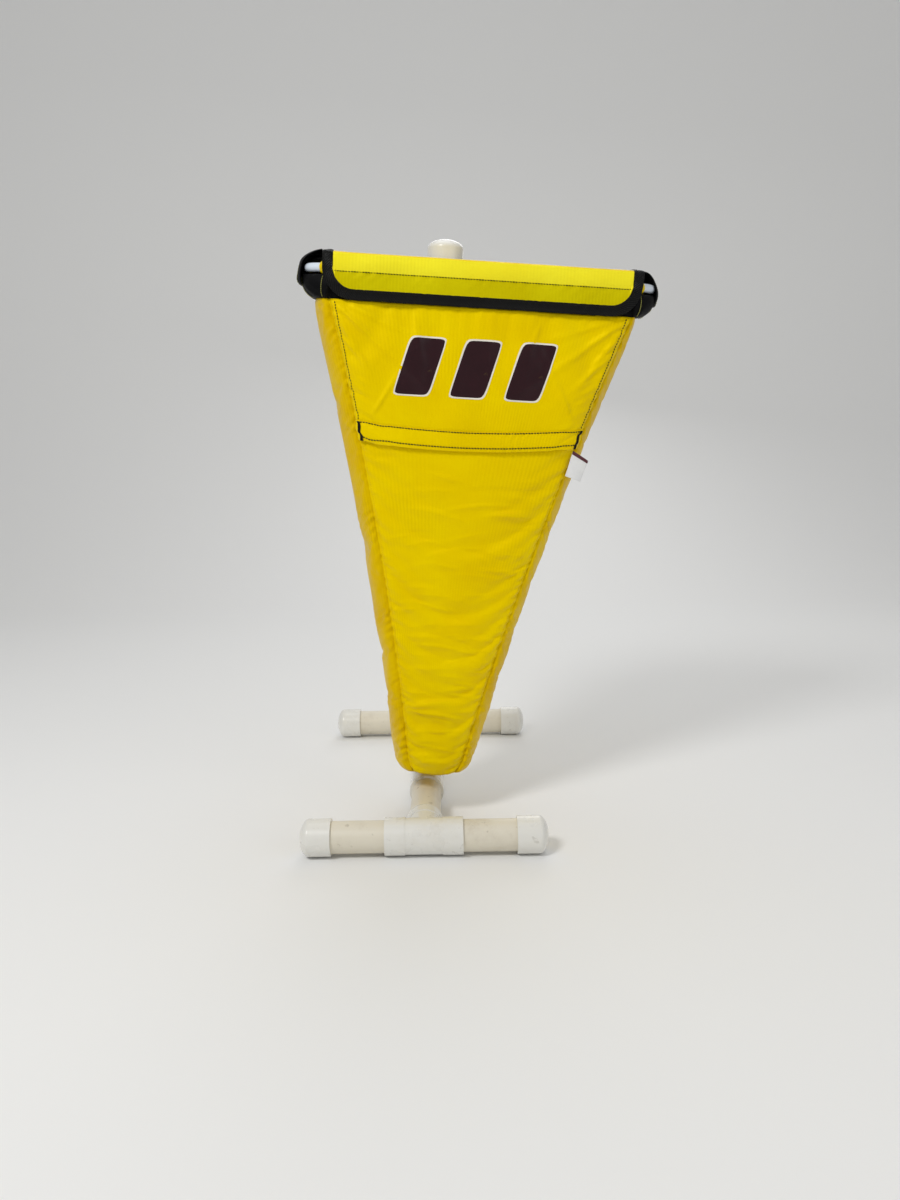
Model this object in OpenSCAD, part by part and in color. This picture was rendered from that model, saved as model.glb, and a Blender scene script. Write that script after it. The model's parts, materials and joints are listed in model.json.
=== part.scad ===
// Tall debris collection bag hung on a free-standing plastic pipe stand.
// Millimetres. +X is the viewer's right, +Y points away from the bag's front, +Z is up.
// The origin is on the floor, under the post's foot.

/* [Pipe and fittings] */
// Outside diameter of the pipe
pipe_d = 60.3; // [48:0.1:73]
// Wall of the pipe
pipe_wall = 3.9; // [3:0.1:5]
// Wall of the fittings outside the pipe
fitting_wall = 5.1; // [4:0.1:6.5]
// Depth of each fitting's socket
socket_depth = 38; // [30:1:46]
// Distance from a pipe's surface to the stop of the next pipe inside a tee
tee_stop = 4.85; // [3:0.05:8]
// Length of a cap's round wall
cap_wall_len = 41; // [41:1:55]
// Height of a cap's dome
cap_dome = 18; // [12:1:26]
// Gap all round between a pipe and its socket
socket_clear = 0.05; // [0.02:0.01:0.1]

/* [Stand] */
// Length of the front foot over its caps
front_foot_len = 464; // [380:1:560]
// Length of the rear foot over its caps
rear_foot_len = 480; // [380:1:580]
// Distance from the post to the front foot
front_reach = 305; // [260:1:370]
// Distance from the post to the rear foot
rear_reach = 440; // [360:1:530]
// Height of the stand along its post
stand_h = 1154; // [900:1:1390]
// Sideways lean of the post, turned in its dry-fitted tee (degrees)
post_lean = 3; // [0:0.5:4]

/* [Bag] */
// How far each side seam stays inside the hoop's width at the mouth
mouth_inset = 49; // [40:1:75]
// Width of the front panel at the foot of the bag
foot_w = 100; // [84:1:120]
// Extra widening of the bag towards its mouth
flare = 64; // [40:1:80]
// Depth of the bag at the mouth
mouth_depth = 193; // [165:1:225]
// Depth of the bag at its foot
foot_depth = 105; // [90:1:125]
// Gap between the fittings' top and the lowest edge of the bag
foot_clear = 5.5; // [3:0.5:25]
// Drop of the bottom panel from front to back
foot_drop = 29; // [20:1:30]
// Distance from the top of the stand down to the front panel's upper edge
mouth_drop = 154; // [145:1:320]
// How far the side panels belly out past their seams
side_belly = 28; // [18:1:34]
// How far the front panel crowns forward
front_crown = 9; // [4:1:14]
// Thickness of the padded fabric
fabric_t = 2; // [1.5:0.1:3]
// How far the bag hangs to the right of the post
bag_offset = 41; // [0:1:50]
// How far the foot of the bag hangs to the left of the mouth
bag_sway = 36; // [0:1:44]
// Sideways tilt of the bag against the post (degrees)
bag_tilt = 1; // [0:0.5:3]
// Turn of the bag round the post (degrees)
bag_turn = 3; // [0:0.5:5]

/* [Mouth hoop and collar] */
// Outside diameter of the hoop's tube
hoop_d = 15.9; // [12.7:0.1:19]
// Wall of the hoop's tube
hoop_wall = 1.8; // [1.4:0.1:2.4]
// Width of the hoop over its tube
hoop_w = 642; // [600:1:680]
// How much less deep the hoop is than the bag's mouth, over the centres of its runs
hoop_tuck = 12; // [5:1:20]
// Bend radius of the hoop's corners
hoop_bend = 55; // [45:1:62]
// Height of the hoop above the front panel's upper edge
hoop_lift = 52; // [48:1:62]
// How much higher the back of the hoop sits than its front
hoop_rise = 15; // [5:1:25]
// How far the side hoods stand out past the hoop's tube
hood_out = 11; // [8:1:14]
// How far the side hoods stand up over the middle of the hoop's tube
hood_up = 31; // [24:1:36]

/* [Lid] */
// Height of the lid's rear hinge above the front panel's upper edge
hinge_lift = 113; // [95:1:125]
// Height of the lid's front fold above the front panel's upper edge
fold_lift = 76; // [72:1:88]
// How far each side of the lid stays inside the hoop's width
lid_inset = 37; // [34:1:60]
// Width of the lid's edge binding
binding_w = 20; // [15:1:25]
// Height of the lid's front drop
drop_h = 76; // [70:1:84]
// Corner radius of the lid's front drop
drop_corner = 56; // [40:1:60]
// Inward lean of the lid's front drop (degrees)
drop_lean = 3; // [0:0.5:3.5]
// Width of the hook and loop closure strips
closure_w = 25; // [18:1:30]

/* [Front overlay and trim] */
// Height of the overlay's lower hem edge below the front panel's upper edge
overlay_h = 250; // [200:1:300]
// Width of the hem band
hem_w = 34; // [25:1:45]
// Height of the three plain marks
mark_h = 100; // [80:1:110]
// Width of one mark
mark_w = 62; // [50:1:70]
// Distance from one mark to the next
mark_pitch = 100; // [90:1:115]
// Sideways slant of a mark from its foot to its head
mark_slant = 24; // [0:1:30]
// Height of the sewn-in fabric tag
tag_h = 46; // [38:1:55]
// Width of the sewn-in fabric tag outside its seam
tag_w = 28; // [22:1:34]

/* [Post loops] */
// Width of the webbing of the post loops
web_w = 38; // [25:1:50]
// Thickness of the webbing
web_t = 2; // [1.5:0.1:2.5]
// Gap all round between a post loop and the post's cap
loop_clear = 1.5; // [1:0.1:3]
// Half-length of a loop's tails along the back panel
loop_tail = 75; // [60:1:90]
// Distance from the front panel's upper edge down to the upper post loop's lower edge
upper_loop_drop = 40; // [40:1:160]
// Distance from the front panel's upper edge down to the lower post loop's lower edge
lower_loop_drop = 440; // [300:1:520]

/* [Hidden] */

// Gap between pieces that are sewn or laid together
seam_gap = 0.3;
// Points along each curve of the sewn panels
panel_rows = 14;
panel_cols = 12;
// Sharpness of the bag's rounded sides: 2 is an ellipse, more is squarer
side_power = 2.8;
curve_fn = 96;
tube_fn = 64;
film_t = 0.4;
tag_t = 0.8;
strip_t = 1.5;
lid_t = 2.5;
binding_t = 3.5;
casing_wall = 2;
overlay_t = 1.2;
hem_t = 1.2;
tack_w = 4;
coupling_len = 60;
hoop_end_gap = 1;
// Gap between the hoop's front sleeve and the lid's drop, and between the hoop's back and the back cloth
lid_clear = 3;

// Gap between the hoods and the lid's sides
hood_gap = 4;

pipe_r = pipe_d / 2;
fitting_r = pipe_r + fitting_wall;
axis_z = fitting_r;
tee_start = pipe_r + tee_stop;
tee_branch = tee_start + socket_depth;
tee_run = 2 * tee_branch;

foot_z = 2 * fitting_r + foot_clear + foot_drop;
panel_top_z = stand_h - mouth_drop;
mouth_w = hoop_w - 2 * mouth_inset;
hoop_depth = mouth_depth - hoop_tuck;
lid_w = hoop_w - 2 * lid_inset;
socket_r = pipe_r + socket_clear;
bore_r = pipe_r - pipe_wall;
cap_len = cap_wall_len + cap_dome;

loop_r = fitting_r + loop_clear;
back_y = -(loop_r + web_t + seam_gap);

hoop_r = hoop_d / 2;
hoop_half = hoop_w / 2 - hoop_r;
hoop_back_y = back_y - fabric_t - casing_wall - hoop_r - lid_clear;
hoop_pitch = asin(hoop_rise / hoop_depth);
hoop_plan = hoop_depth * cos(hoop_pitch);
hoop_front_y = hoop_back_y - hoop_plan;
hoop_front_z = panel_top_z + hoop_lift;
hoop_back_z = hoop_front_z + hoop_rise;
casing_r = hoop_r + seam_gap + casing_wall;

lid_yellow_half = lid_w / 2 - binding_w;
lid_hinge_y = back_y - fabric_t - 5;
lid_hinge_z = panel_top_z + hinge_lift;
fold_y = hoop_front_y - casing_r - lid_clear - binding_t / 2;
fold_z = panel_top_z + fold_lift;
lid_pitch = atan((lid_hinge_z - fold_z) / (lid_hinge_y - fold_y));
lid_len = (lid_hinge_y - fold_y) / cos(lid_pitch) - binding_t;

// ---------- helpers ----------
function mix(a, b, u) = a + (b - a) * u;
function unit(v) = v / norm(v);
function at(list, i) = list[max(0, min(len(list) - 1, i))];

// A sheet over a grid of points, from offset low to offset high along its normals
module sheet(rows, low, high) {
    nr = len(rows);
    nc = len(rows[0]);
    function normal(i, j) = unit(cross(at(rows[i], j + 1) - at(rows[i], j - 1),
                                       at(rows, i + 1)[j] - at(rows, i - 1)[j]));
    top = [for (i = [0:nr-1], j = [0:nc-1]) rows[i][j] + high * normal(i, j)];
    bottom = [for (i = [0:nr-1], j = [0:nc-1]) rows[i][j] + low * normal(i, j)];
    n = nr * nc;
    cells = [for (i = [0:nr-2], j = [0:nc-2]) i * nc + j];
    rim = concat([for (j = [0:nc-2]) j], [for (i = [0:nr-2]) i * nc + nc - 1],
                 [for (j = [nc-1:-1:1]) (nr - 1) * nc + j], [for (i = [nr-1:-1:1]) i * nc]);
    polyhedron(concat(top, bottom), concat(
        [for (a = cells) [a, a + nc, a + nc + 1]], [for (a = cells) [a, a + nc + 1, a + 1]],
        [for (a = cells) [n + a, n + a + nc + 1, n + a + nc]],
        [for (a = cells) [n + a, n + a + 1, n + a + nc + 1]],
        [for (k = [0:len(rim)-1]) [rim[k], rim[(k + 1) % len(rim)], n + rim[k]]],
        [for (k = [0:len(rim)-1]) [rim[(k + 1) % len(rim)], n + rim[(k + 1) % len(rim)], n + rim[k]]]
    ));
}

// Places the leaning post, and the bag that hangs on it
module on_post() translate([0, 0, axis_z]) rotate([0, post_lean, 0]) translate([0, 0, -axis_z]) children();
module on_bag() on_post() rotate([0, 0, bag_turn])
    translate([bag_offset, 0, axis_z]) rotate([0, bag_tilt, 0]) translate([0, 0, -axis_z]) children();
// The hoop's own plane: its origin is the middle of the hoop's rear run
module on_hoop() on_bag() translate([0, hoop_back_y, hoop_back_z]) rotate([hoop_pitch, 0, 0]) children();
// The lid: its origin is the middle of its rear hinge, and it runs towards -Y
module on_lid() on_bag() translate([0, lid_hinge_y, lid_hinge_z]) rotate([lid_pitch, 0, 0]) children();
// The lid's front drop: its origin is the middle of the fold at the front edge of the lid
module on_drop() on_bag() translate([0, fold_y, fold_z]) rotate([drop_lean, 0, 0]) children();

// ---------- stand ----------
module pipe(len) linear_extrude(len) difference() {
    circle(pipe_r, $fn = curve_fn);
    circle(bore_r, $fn = curve_fn);
}

// Cap, its mouth at the origin and its dome along +Z
module cap() {
    dome = 24;
    rotate_extrude($fn = curve_fn) polygon(concat(
        [[socket_r, 0], [fitting_r, 0]],
        [for (i = [0:dome]) [fitting_r * cos(90 * i / dome), cap_wall_len + cap_dome * sin(90 * i / dome)]],
        [[0, socket_depth + fitting_wall * 0.4], [0, socket_depth], [socket_r, socket_depth]]
    ));
}

// Tee with its run along X and its branch along +Z
module tee() {
    collar = 1.2;
    difference() {
        union() {
            rotate([0, 90, 0]) cylinder(h = tee_run, r = fitting_r - collar, center = true, $fn = curve_fn);
            cylinder(h = tee_branch, r = fitting_r - collar, $fn = curve_fn);
            for (s = [-1, 1]) translate([s * (tee_run - socket_depth) / 2, 0, 0])
                rotate([0, 90, 0]) cylinder(h = socket_depth, r = fitting_r, center = true, $fn = curve_fn);
            translate([0, 0, tee_branch - socket_depth * 0.75])
                cylinder(h = socket_depth * 0.75, r = fitting_r, $fn = curve_fn);
        }
        rotate([0, 90, 0]) cylinder(h = tee_run + 2, r = bore_r, center = true, $fn = curve_fn);
        cylinder(h = tee_branch + 1, r = bore_r, $fn = curve_fn);
        for (s = [-1, 1]) translate([s * tee_start, 0, 0])
            rotate([0, s * 90, 0]) cylinder(h = socket_depth + 1, r = socket_r, $fn = curve_fn);
        translate([0, 0, tee_start]) cylinder(h = socket_depth + 1, r = socket_r, $fn = curve_fn);
    }
}

// A foot's half pipe runs from its tee's socket to its cap's socket, side s = -1 or 1
module foot_pipe(y, foot_len, s) {
    color("ivory") translate([s * tee_start, y, axis_z]) rotate([0, s * 90, 0])
        pipe(foot_len / 2 - cap_len + socket_depth - tee_start);
}
module foot_cap(y, foot_len, s)
    color("white") translate([s * (foot_len / 2 - cap_len), y, axis_z]) rotate([0, s * 90, 0]) cap();

module front_tee() color("white") translate([0, -front_reach, axis_z]) rotate([-90, 0, 0]) tee();
module rear_tee() color("white") translate([0, rear_reach, axis_z]) rotate([90, 0, 0]) tee();
module post_tee() color("white") on_post() translate([0, 0, axis_z]) rotate([0, 0, 90]) tee();
module front_left_pipe() foot_pipe(-front_reach, front_foot_len, -1);
module front_right_pipe() foot_pipe(-front_reach, front_foot_len, 1);
module rear_left_pipe() foot_pipe(rear_reach, rear_foot_len, -1);
module rear_right_pipe() foot_pipe(rear_reach, rear_foot_len, 1);
module front_left_cap() foot_cap(-front_reach, front_foot_len, -1);
module front_right_cap() foot_cap(-front_reach, front_foot_len, 1);
module rear_left_cap() foot_cap(rear_reach, rear_foot_len, -1);
module rear_right_cap() foot_cap(rear_reach, rear_foot_len, 1);
// A centre pipe runs along Y between the post tee and a foot's tee
module centre_pipe(reach, s) {
    color("ivory") translate([0, s * tee_start, axis_z]) rotate([-s * 90, 0, 0])
        pipe(reach - 2 * tee_start);
}
module front_centre_pipe() centre_pipe(front_reach, -1);
module rear_centre_pipe() centre_pipe(rear_reach, 1);
module post_pipe() color("ivory") on_post() translate([0, 0, axis_z + tee_start])
    pipe(stand_h - cap_len + socket_depth - axis_z - tee_start);
module post_cap() color("white") on_post() translate([0, 0, stand_h - cap_len]) cap();

// ---------- bag body ----------
// Share of the way from the foot of the front panel to its upper edge
function level(z) = (z - foot_z) / (panel_top_z - foot_z);
function seam_half(z) = foot_w / 2 + ((mouth_w - foot_w) / 2 - flare) * level(z) + flare * level(z) * level(z);
function sway(z) = -bag_sway * (1 - level(z));
function front_y(z) = back_y - mix(foot_depth, mouth_depth, level(z));
function crown(z) = front_crown * 4 * max(0, level(z) * (1 - level(z)));

// A point of the front panel: u runs from -1 at the left seam to 1 at the right one
function front_point(u, z) = [sway(z) + u * seam_half(z), front_y(z) - crown(z) * (1 - u * u), z];
function front_rows(z0, z1, edge, count) = [for (i = [0:count]) let(z = mix(z0, z1, i / count))
    [for (j = [0:panel_cols]) front_point(mix(-1, 1, j / panel_cols) * (1 - edge / seam_half(z)), z)]];

// A side runs from the front seam, q = 0, to the back seam, q = 1
function bend(q) = pow(sin(180 * q), 2 / side_power);
function run(q) = (1 - sign(cos(180 * q)) * pow(abs(cos(180 * q)), 2 / side_power)) / 2;
function side_low(q) = foot_z - foot_drop * run(q);
function side_high(q) = panel_top_z + hoop_rise * run(q);
function side_point(q, z, s) = [
    s * sway(z) + seam_half(z) + side_belly * bend(q), mix(front_y(z), back_y - fabric_t, run(q)), z];
function side_q(j) = mix(0.02, 0.98, j / panel_cols);
function side_rows(s) = [for (i = [0:panel_rows])
    [for (j = [0:panel_cols]) let(q = side_q(j)) side_point(q, mix(side_low(q), side_high(q), i / panel_rows), s)]];

module front_panel() color("gold") on_bag()
    sheet(front_rows(foot_z, panel_top_z, seam_gap + fabric_t, panel_rows), -fabric_t, 0);
module back_panel() color("gold") on_bag() {
    low = foot_z - foot_drop;
    high = panel_top_z + hoop_rise;
    count = 8;
    edge = fabric_t + seam_gap;
    zs = [for (i = [0:count]) mix(low, high, i / count)];
    translate([0, back_y, 0]) rotate([90, 0, 0]) linear_extrude(fabric_t) polygon(concat(
        [for (z = zs) [sway(z) + seam_half(z) - edge, z]],
        [for (i = [count:-1:0]) [sway(zs[i]) - seam_half(zs[i]) + edge, zs[i]]]));
}
module side_panel(s) color("gold") on_bag() mirror([s < 0 ? 1 : 0, 0, 0])
    sheet(side_rows(s), -fabric_t, 0);
module left_side_panel() side_panel(-1);
module right_side_panel() side_panel(1);
module bottom_panel() color("gold") on_bag() {
    slope = atan(foot_drop / foot_depth);
    inset = fabric_t + 4 * seam_gap;
    // Each side's edge point: the middle of the bag, the half width there, and the place along the slope
    edge = [for (j = [0:panel_cols]) let(q = j / panel_cols, z = side_low(q))
        [sway(z), seam_half(z) - 3 * seam_gap + (side_belly - inset) * bend(q),
         mix(-foot_depth + inset, -inset, run(q)) / cos(slope)]];
    translate([0, back_y, foot_z - foot_drop]) rotate([-slope, 0, 0]) linear_extrude(fabric_t)
        polygon(concat([for (e = edge) [e[0] + e[1], e[2]]],
                       [for (j = [panel_cols:-1:0]) [edge[j][0] - edge[j][1], edge[j][2]]]));
}

// ---------- overlay and trim on the front ----------
overlay_low = panel_top_z - overlay_h;
module front_overlay() color("gold") on_bag()
    sheet(front_rows(overlay_low, panel_top_z, seam_gap + fabric_t, 8), seam_gap, seam_gap + overlay_t);
hem_skin = 2 * seam_gap + overlay_t;
module hem_band() color("gold") on_bag()
    sheet(front_rows(overlay_low, overlay_low + hem_w, fabric_t + tack_w, 2), hem_skin, hem_skin + hem_t);
module hem_bar_tacks() color("black") on_bag() for (s = [-1, 1])
    sheet([for (z = [overlay_low, overlay_low + hem_w])
        [for (j = [0:1]) let(x = s * (seam_half(z) - fabric_t - (s > 0 ? 1 - j : j) * (tack_w - seam_gap)))
            [sway(z) + x, front_y(z) - crown(z) * (1 - pow(x / seam_half(z), 2)), z]]],
        hem_skin, hem_skin + hem_t);
mark_low = mix(overlay_low + hem_w, panel_top_z, 0.5) - mark_h / 2;
module plain_marks() color([0.2, 0.06, 0.08]) on_bag() for (k = [-1:1])
    sheet([for (i = [0:4]) let(z = mark_low + mark_h * i / 4)
        [for (j = [0:4]) let(x = k * mark_pitch + mark_slant * (i / 4 - 0.5) + mark_w * (j / 4 - 0.5))
            front_point(x / seam_half(z), z)]], hem_skin, hem_skin + film_t);
tag_z = overlay_low - tag_h;
module fabric_tag() color("white") on_bag() {
    slope = atan((seam_half(tag_z + tag_h) - seam_half(tag_z)) / tag_h);
    translate([sway(tag_z) + seam_half(tag_z), front_y(tag_z) - crown(tag_z) - 2 * seam_gap, tag_z])
        rotate([90, 0, 0]) rotate([0, 0, -slope]) linear_extrude(tag_t) square([tag_w, tag_h]);
}

// ---------- mouth hoop ----------
hoop_run = hoop_half - hoop_bend;
module ring_2d(outer, inner) difference() {
    circle(outer, $fn = tube_fn);
    circle(inner, $fn = tube_fn);
}
// A straight length along X, from x0 to x1
module run_x(x0, x1, outer, inner)
    translate([x0, 0, 0]) rotate([0, 90, 0]) linear_extrude(x1 - x0) ring_2d(outer, inner);
// A quarter bend about the origin, starting at +X
module quarter(outer, inner)
    rotate_extrude(angle = 90, $fn = curve_fn) translate([hoop_bend, 0]) ring_2d(outer, inner);
module both_sides() for (s = [0, 1]) mirror([s, 0, 0]) children();

// The hoop's whole path as a solid rod of radius r, its rear ends left apart
module hoop_rod(r, end_gap) {
    translate([-hoop_run, -hoop_depth, 0]) rotate([0, 90, 0]) cylinder(h = 2 * hoop_run, r = r, $fn = tube_fn);
    both_sides() {
        translate([end_gap / 2, 0, 0]) rotate([0, 90, 0])
            cylinder(h = hoop_run - end_gap / 2, r = r, $fn = tube_fn);
        translate([hoop_run, -hoop_bend, 0]) rod_bend(r);
        translate([hoop_half, -hoop_bend, 0]) rotate([90, 0, 0])
            cylinder(h = hoop_depth - 2 * hoop_bend, r = r, $fn = tube_fn);
        translate([hoop_run, hoop_bend - hoop_depth, 0]) rotate([0, 0, -90]) rod_bend(r);
    }
}
module rod_bend(r) rotate_extrude(angle = 90, $fn = curve_fn) translate([hoop_bend, 0]) circle(r, $fn = tube_fn);
module mouth_hoop() color("whitesmoke") on_hoop() difference() {
    hoop_rod(hoop_r, hoop_end_gap);
    hoop_rod(hoop_r - hoop_wall, 0);
}
module hoop_coupling() color("gray") on_hoop()
    run_x(-coupling_len / 2, coupling_len / 2, hoop_r - hoop_wall - socket_clear, 3);
casing_bore = hoop_r + seam_gap;
module front_sleeve() color("gold") on_hoop() translate([0, -hoop_depth, 0])
    run_x(-hoop_run, hoop_run, casing_r, casing_bore);
// A hood over each side run of the hoop: its profile starts low outside the tube and ends above the mouth
hood_rows = 10;
hood_in = hoop_half - lid_w / 2 - hood_gap;
function hood_offset(v) = [(hood_out + hoop_r) * cos(mix(-50, 90, v)) - hood_in * pow(v, 4),
                           hood_up * sin(mix(-78, 90, v))];
function hood_point(q, v) = let(p = hoop_outline(q, hood_offset(v)[0]))
    [max(p.x, lid_w / 2 + hood_gap), p.y, p.z + hood_offset(v)[1]];
module side_casing(s) color("black") on_bag() mirror([s < 0 ? 1 : 0, 0, 0])
    sheet([for (i = [0:hood_rows])
        [for (j = [0:panel_cols]) hood_point(mix(0.2, 0.72, j / panel_cols), i / hood_rows)]],
        -fabric_t / 2, fabric_t / 2);
module left_casing() side_casing(-1);
module right_casing() side_casing(1);
module rear_casing() color("black") on_hoop() {
    run_x(-hoop_run, hoop_run, casing_r, casing_bore);
    both_sides() translate([hoop_run, -hoop_bend, 0]) quarter(casing_r, casing_bore);
}

// ---------- collar between the bag and the hoop ----------
collar_gap = casing_r + 1;
function hoop_z(y) = hoop_front_z + hoop_rise * (y - hoop_front_y) / hoop_plan;
// A point beside the hoop's side, out from its tube's centre: q = 0 at the front end of the bend, 1 at the rear end
function hoop_outline(q, out) = let(
    arc = 0.3, r = hoop_bend + out,
    a = 90 * min(1, q / arc), b = 90 * max(0, (q - 1 + arc) / arc),
    front = hoop_front_y + hoop_bend, back = hoop_back_y - hoop_bend,
    x = hoop_run + (q < 0.5 ? r * sin(a) : r * cos(b)),
    y = q < arc ? front - r * cos(a) : q > 1 - arc ? back + r * sin(b) : mix(front, back, (q - arc) / (1 - 2 * arc)))
    [x, y, hoop_z(y)];
function rim_point(q) = let(p = hoop_outline(q, casing_r - 1)) [p.x, min(p.y, back_y - fabric_t), p.z - collar_gap];
collar_rows = 4;
function collar_point(q, v) = mix(side_point(q, side_high(q) + seam_gap, 0), rim_point(q), v);
module side_collar(s) color("black") on_bag() mirror([s < 0 ? 1 : 0, 0, 0])
    sheet([for (i = [0:collar_rows])
        [for (j = [0:2*panel_cols]) collar_point(mix(0.02, 0.98, j / (2 * panel_cols)), i / collar_rows)]],
        -fabric_t, 0);
module left_collar() side_collar(-1);
module right_collar() side_collar(1);
// A flat band across the front or the back, its ends cut back from the side collars
module collar_band(z0, z1, y0, y1, half) color("black") on_bag()
    sheet([[[-half, y0, z0], [half, y0, z0]], [[-half, y1, z1], [half, y1, z1]]], -fabric_t, 0);
collar_half = min(seam_half(panel_top_z), hoop_run) - fabric_t - 1;
module front_collar() {
    high = hoop_front_z - collar_gap;
    collar_band(panel_top_z + seam_gap, high, front_y(panel_top_z), front_y(high), collar_half);
}
module rear_collar() color("black") on_bag() {
    low = panel_top_z + hoop_rise + seam_gap;
    translate([-collar_half, back_y - fabric_t, low]) cube([2 * collar_half, fabric_t, lid_hinge_z - low]);
}
module loop_closure_strip() color("dimgray") on_bag() {
    low = hoop_front_z - collar_gap - closure_w - 2;
    high = low + closure_w;
    half = lid_yellow_half - drop_corner;
    sheet([for (z = [low, high]) [for (x = [-half, half]) [x, front_y(z), z]]], seam_gap, seam_gap + strip_t);
}

// ---------- loops round the post ----------
module post_loop(z) color("black") on_post() rotate([0, 0, bag_turn]) translate([0, 0, z])
    linear_extrude(web_w) difference() {
        union() {
            circle(loop_r + web_t, $fn = curve_fn);
            translate([-loop_tail, -loop_r - web_t]) square([2 * loop_tail, web_t]);
        }
        circle(loop_r, $fn = curve_fn);
    }
module upper_post_loop() post_loop(panel_top_z - upper_loop_drop);
module lower_post_loop() post_loop(panel_top_z - lower_loop_drop);

// ---------- lid ----------
module lid_panel() color("gold") on_lid()
    translate([-lid_yellow_half, -lid_len, 0]) cube([2 * lid_yellow_half, lid_len, lid_t]);
module lid_side_binding() color("black") on_lid() both_sides()
    translate([lid_yellow_half + 0.1, -lid_len, (lid_t - binding_t) / 2]) cube([binding_w - 0.1, lid_len, binding_t]);
// Outline of the drop below its fold, with round lower corners
module drop_outline(w, h, r) intersection() {
    translate([-w / 2, -h]) square([w, h]);
    union() {
        translate([-w / 2, r - h]) square([w, h]);
        translate([r - w / 2, -h]) square([w - 2 * r, h]);
        for (s = [-1, 1]) translate([s * (w / 2 - r), r - h]) circle(r, $fn = tube_fn);
    }
}
module drop_plate(t) translate([0, t / 2, 0]) rotate([90, 0, 0]) linear_extrude(t) children();
module lid_drop() color("gold") on_drop() drop_plate(lid_t)
    drop_outline(2 * lid_yellow_half, drop_h - binding_w, drop_corner - binding_w);
module lid_drop_binding() color("black") on_drop() drop_plate(binding_t) difference() {
    drop_outline(lid_w, drop_h, drop_corner);
    drop_outline(2 * lid_yellow_half + 0.2, drop_h - binding_w + 0.1, drop_corner - binding_w + 0.1);
}
module hook_closure_strip() color("dimgray") on_drop()
    translate([-lid_yellow_half + drop_corner, lid_t / 2 + 0.1, -(drop_h - binding_w) + 1])
        cube([2 * (lid_yellow_half - drop_corner), strip_t, closure_w]);

front_tee();
rear_tee();
post_tee();
front_left_pipe();
front_right_pipe();
rear_left_pipe();
rear_right_pipe();
front_centre_pipe();
rear_centre_pipe();
post_pipe();
front_left_cap();
front_right_cap();
rear_left_cap();
rear_right_cap();
post_cap();
front_panel();
back_panel();
left_side_panel();
right_side_panel();
bottom_panel();
front_overlay();
hem_band();
hem_bar_tacks();
plain_marks();
fabric_tag();
mouth_hoop();
hoop_coupling();
front_sleeve();
left_casing();
right_casing();
rear_casing();
front_collar();
left_collar();
right_collar();
rear_collar();
upper_post_loop();
lower_post_loop();
loop_closure_strip();
lid_panel();
lid_side_binding();
lid_drop();
lid_drop_binding();
hook_closure_strip();
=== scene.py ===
"""Debris collection bag on a pipe stand: the looks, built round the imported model.

Lengths are written in millimetres in the bag's own frames, as the CAD source has them, and become
metres in the meshes.
"""
import json
import math

import bpy
import numpy as np
from mathutils import Matrix

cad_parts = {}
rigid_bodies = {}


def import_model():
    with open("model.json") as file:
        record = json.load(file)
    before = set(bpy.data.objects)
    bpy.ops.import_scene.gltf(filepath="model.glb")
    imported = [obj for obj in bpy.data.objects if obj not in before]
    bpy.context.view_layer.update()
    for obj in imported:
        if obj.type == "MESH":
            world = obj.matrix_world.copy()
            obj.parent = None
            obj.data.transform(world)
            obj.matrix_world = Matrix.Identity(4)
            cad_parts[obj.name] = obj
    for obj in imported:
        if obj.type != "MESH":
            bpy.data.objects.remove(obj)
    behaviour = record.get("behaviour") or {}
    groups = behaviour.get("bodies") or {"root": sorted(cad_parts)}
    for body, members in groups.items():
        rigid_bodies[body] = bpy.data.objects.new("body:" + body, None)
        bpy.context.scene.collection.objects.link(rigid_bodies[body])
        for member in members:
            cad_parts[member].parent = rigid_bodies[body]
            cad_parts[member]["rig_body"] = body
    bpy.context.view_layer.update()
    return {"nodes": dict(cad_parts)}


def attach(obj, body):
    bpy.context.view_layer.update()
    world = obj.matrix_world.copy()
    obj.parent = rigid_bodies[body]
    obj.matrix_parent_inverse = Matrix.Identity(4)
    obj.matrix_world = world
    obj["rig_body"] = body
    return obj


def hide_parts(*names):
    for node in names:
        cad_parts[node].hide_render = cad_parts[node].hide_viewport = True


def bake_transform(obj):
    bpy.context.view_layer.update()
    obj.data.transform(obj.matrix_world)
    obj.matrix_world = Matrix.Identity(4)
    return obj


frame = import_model()
nodes = frame["nodes"]

# ---------- sizes, the same as the CAD's, in mm and degrees ----------
AXIS_Z = 35.25
POST_LEAN, BAG_TURN, BAG_TILT, BAG_OFFSET, BAG_SWAY = 3.0, 3.0, 1.0, 41.0, 36.0
LOOP_R = 36.75
WEB_T, WEB_W, LOOP_TAIL = 2.0, 38.0, 75.0
BACK_Y = -39.05
FABRIC_T = 2.0
MOUTH_W, FOOT_W, FLARE = 544.0, 100.0, 64.0
MOUTH_DEPTH, FOOT_DEPTH = 193.0, 105.0
FOOT_Z, FOOT_DROP, TOP_Z = 105.0, 29.0, 1000.0
CROWN, SIDE_POWER = 9.0, 2.8
HOOP_R, HOOP_W, HOOP_DEPTH, HOOP_BEND, HOOP_RISE = 7.95, 642.0, 181.0, 55.0, 15.0
HOOP_FRONT_Z = TOP_Z + 52.0
HOOP_BACK_Z = HOOP_FRONT_Z + HOOP_RISE
HOOP_BACK_Y = BACK_Y - FABRIC_T - 2.0 - HOOP_R - 3.0
HOOP_PITCH = math.degrees(math.asin(HOOP_RISE / HOOP_DEPTH))
HOOP_PLAN = HOOP_DEPTH * math.cos(math.radians(HOOP_PITCH))
HOOP_FRONT_Y = HOOP_BACK_Y - HOOP_PLAN
HOOP_HALF = HOOP_W / 2 - HOOP_R
HOOP_RUN = HOOP_HALF - HOOP_BEND
CASING_R = 10.25
HOOD_OUT, HOOD_UP, HOOD_GAP = 11.0, 31.0, 4.0
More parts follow.
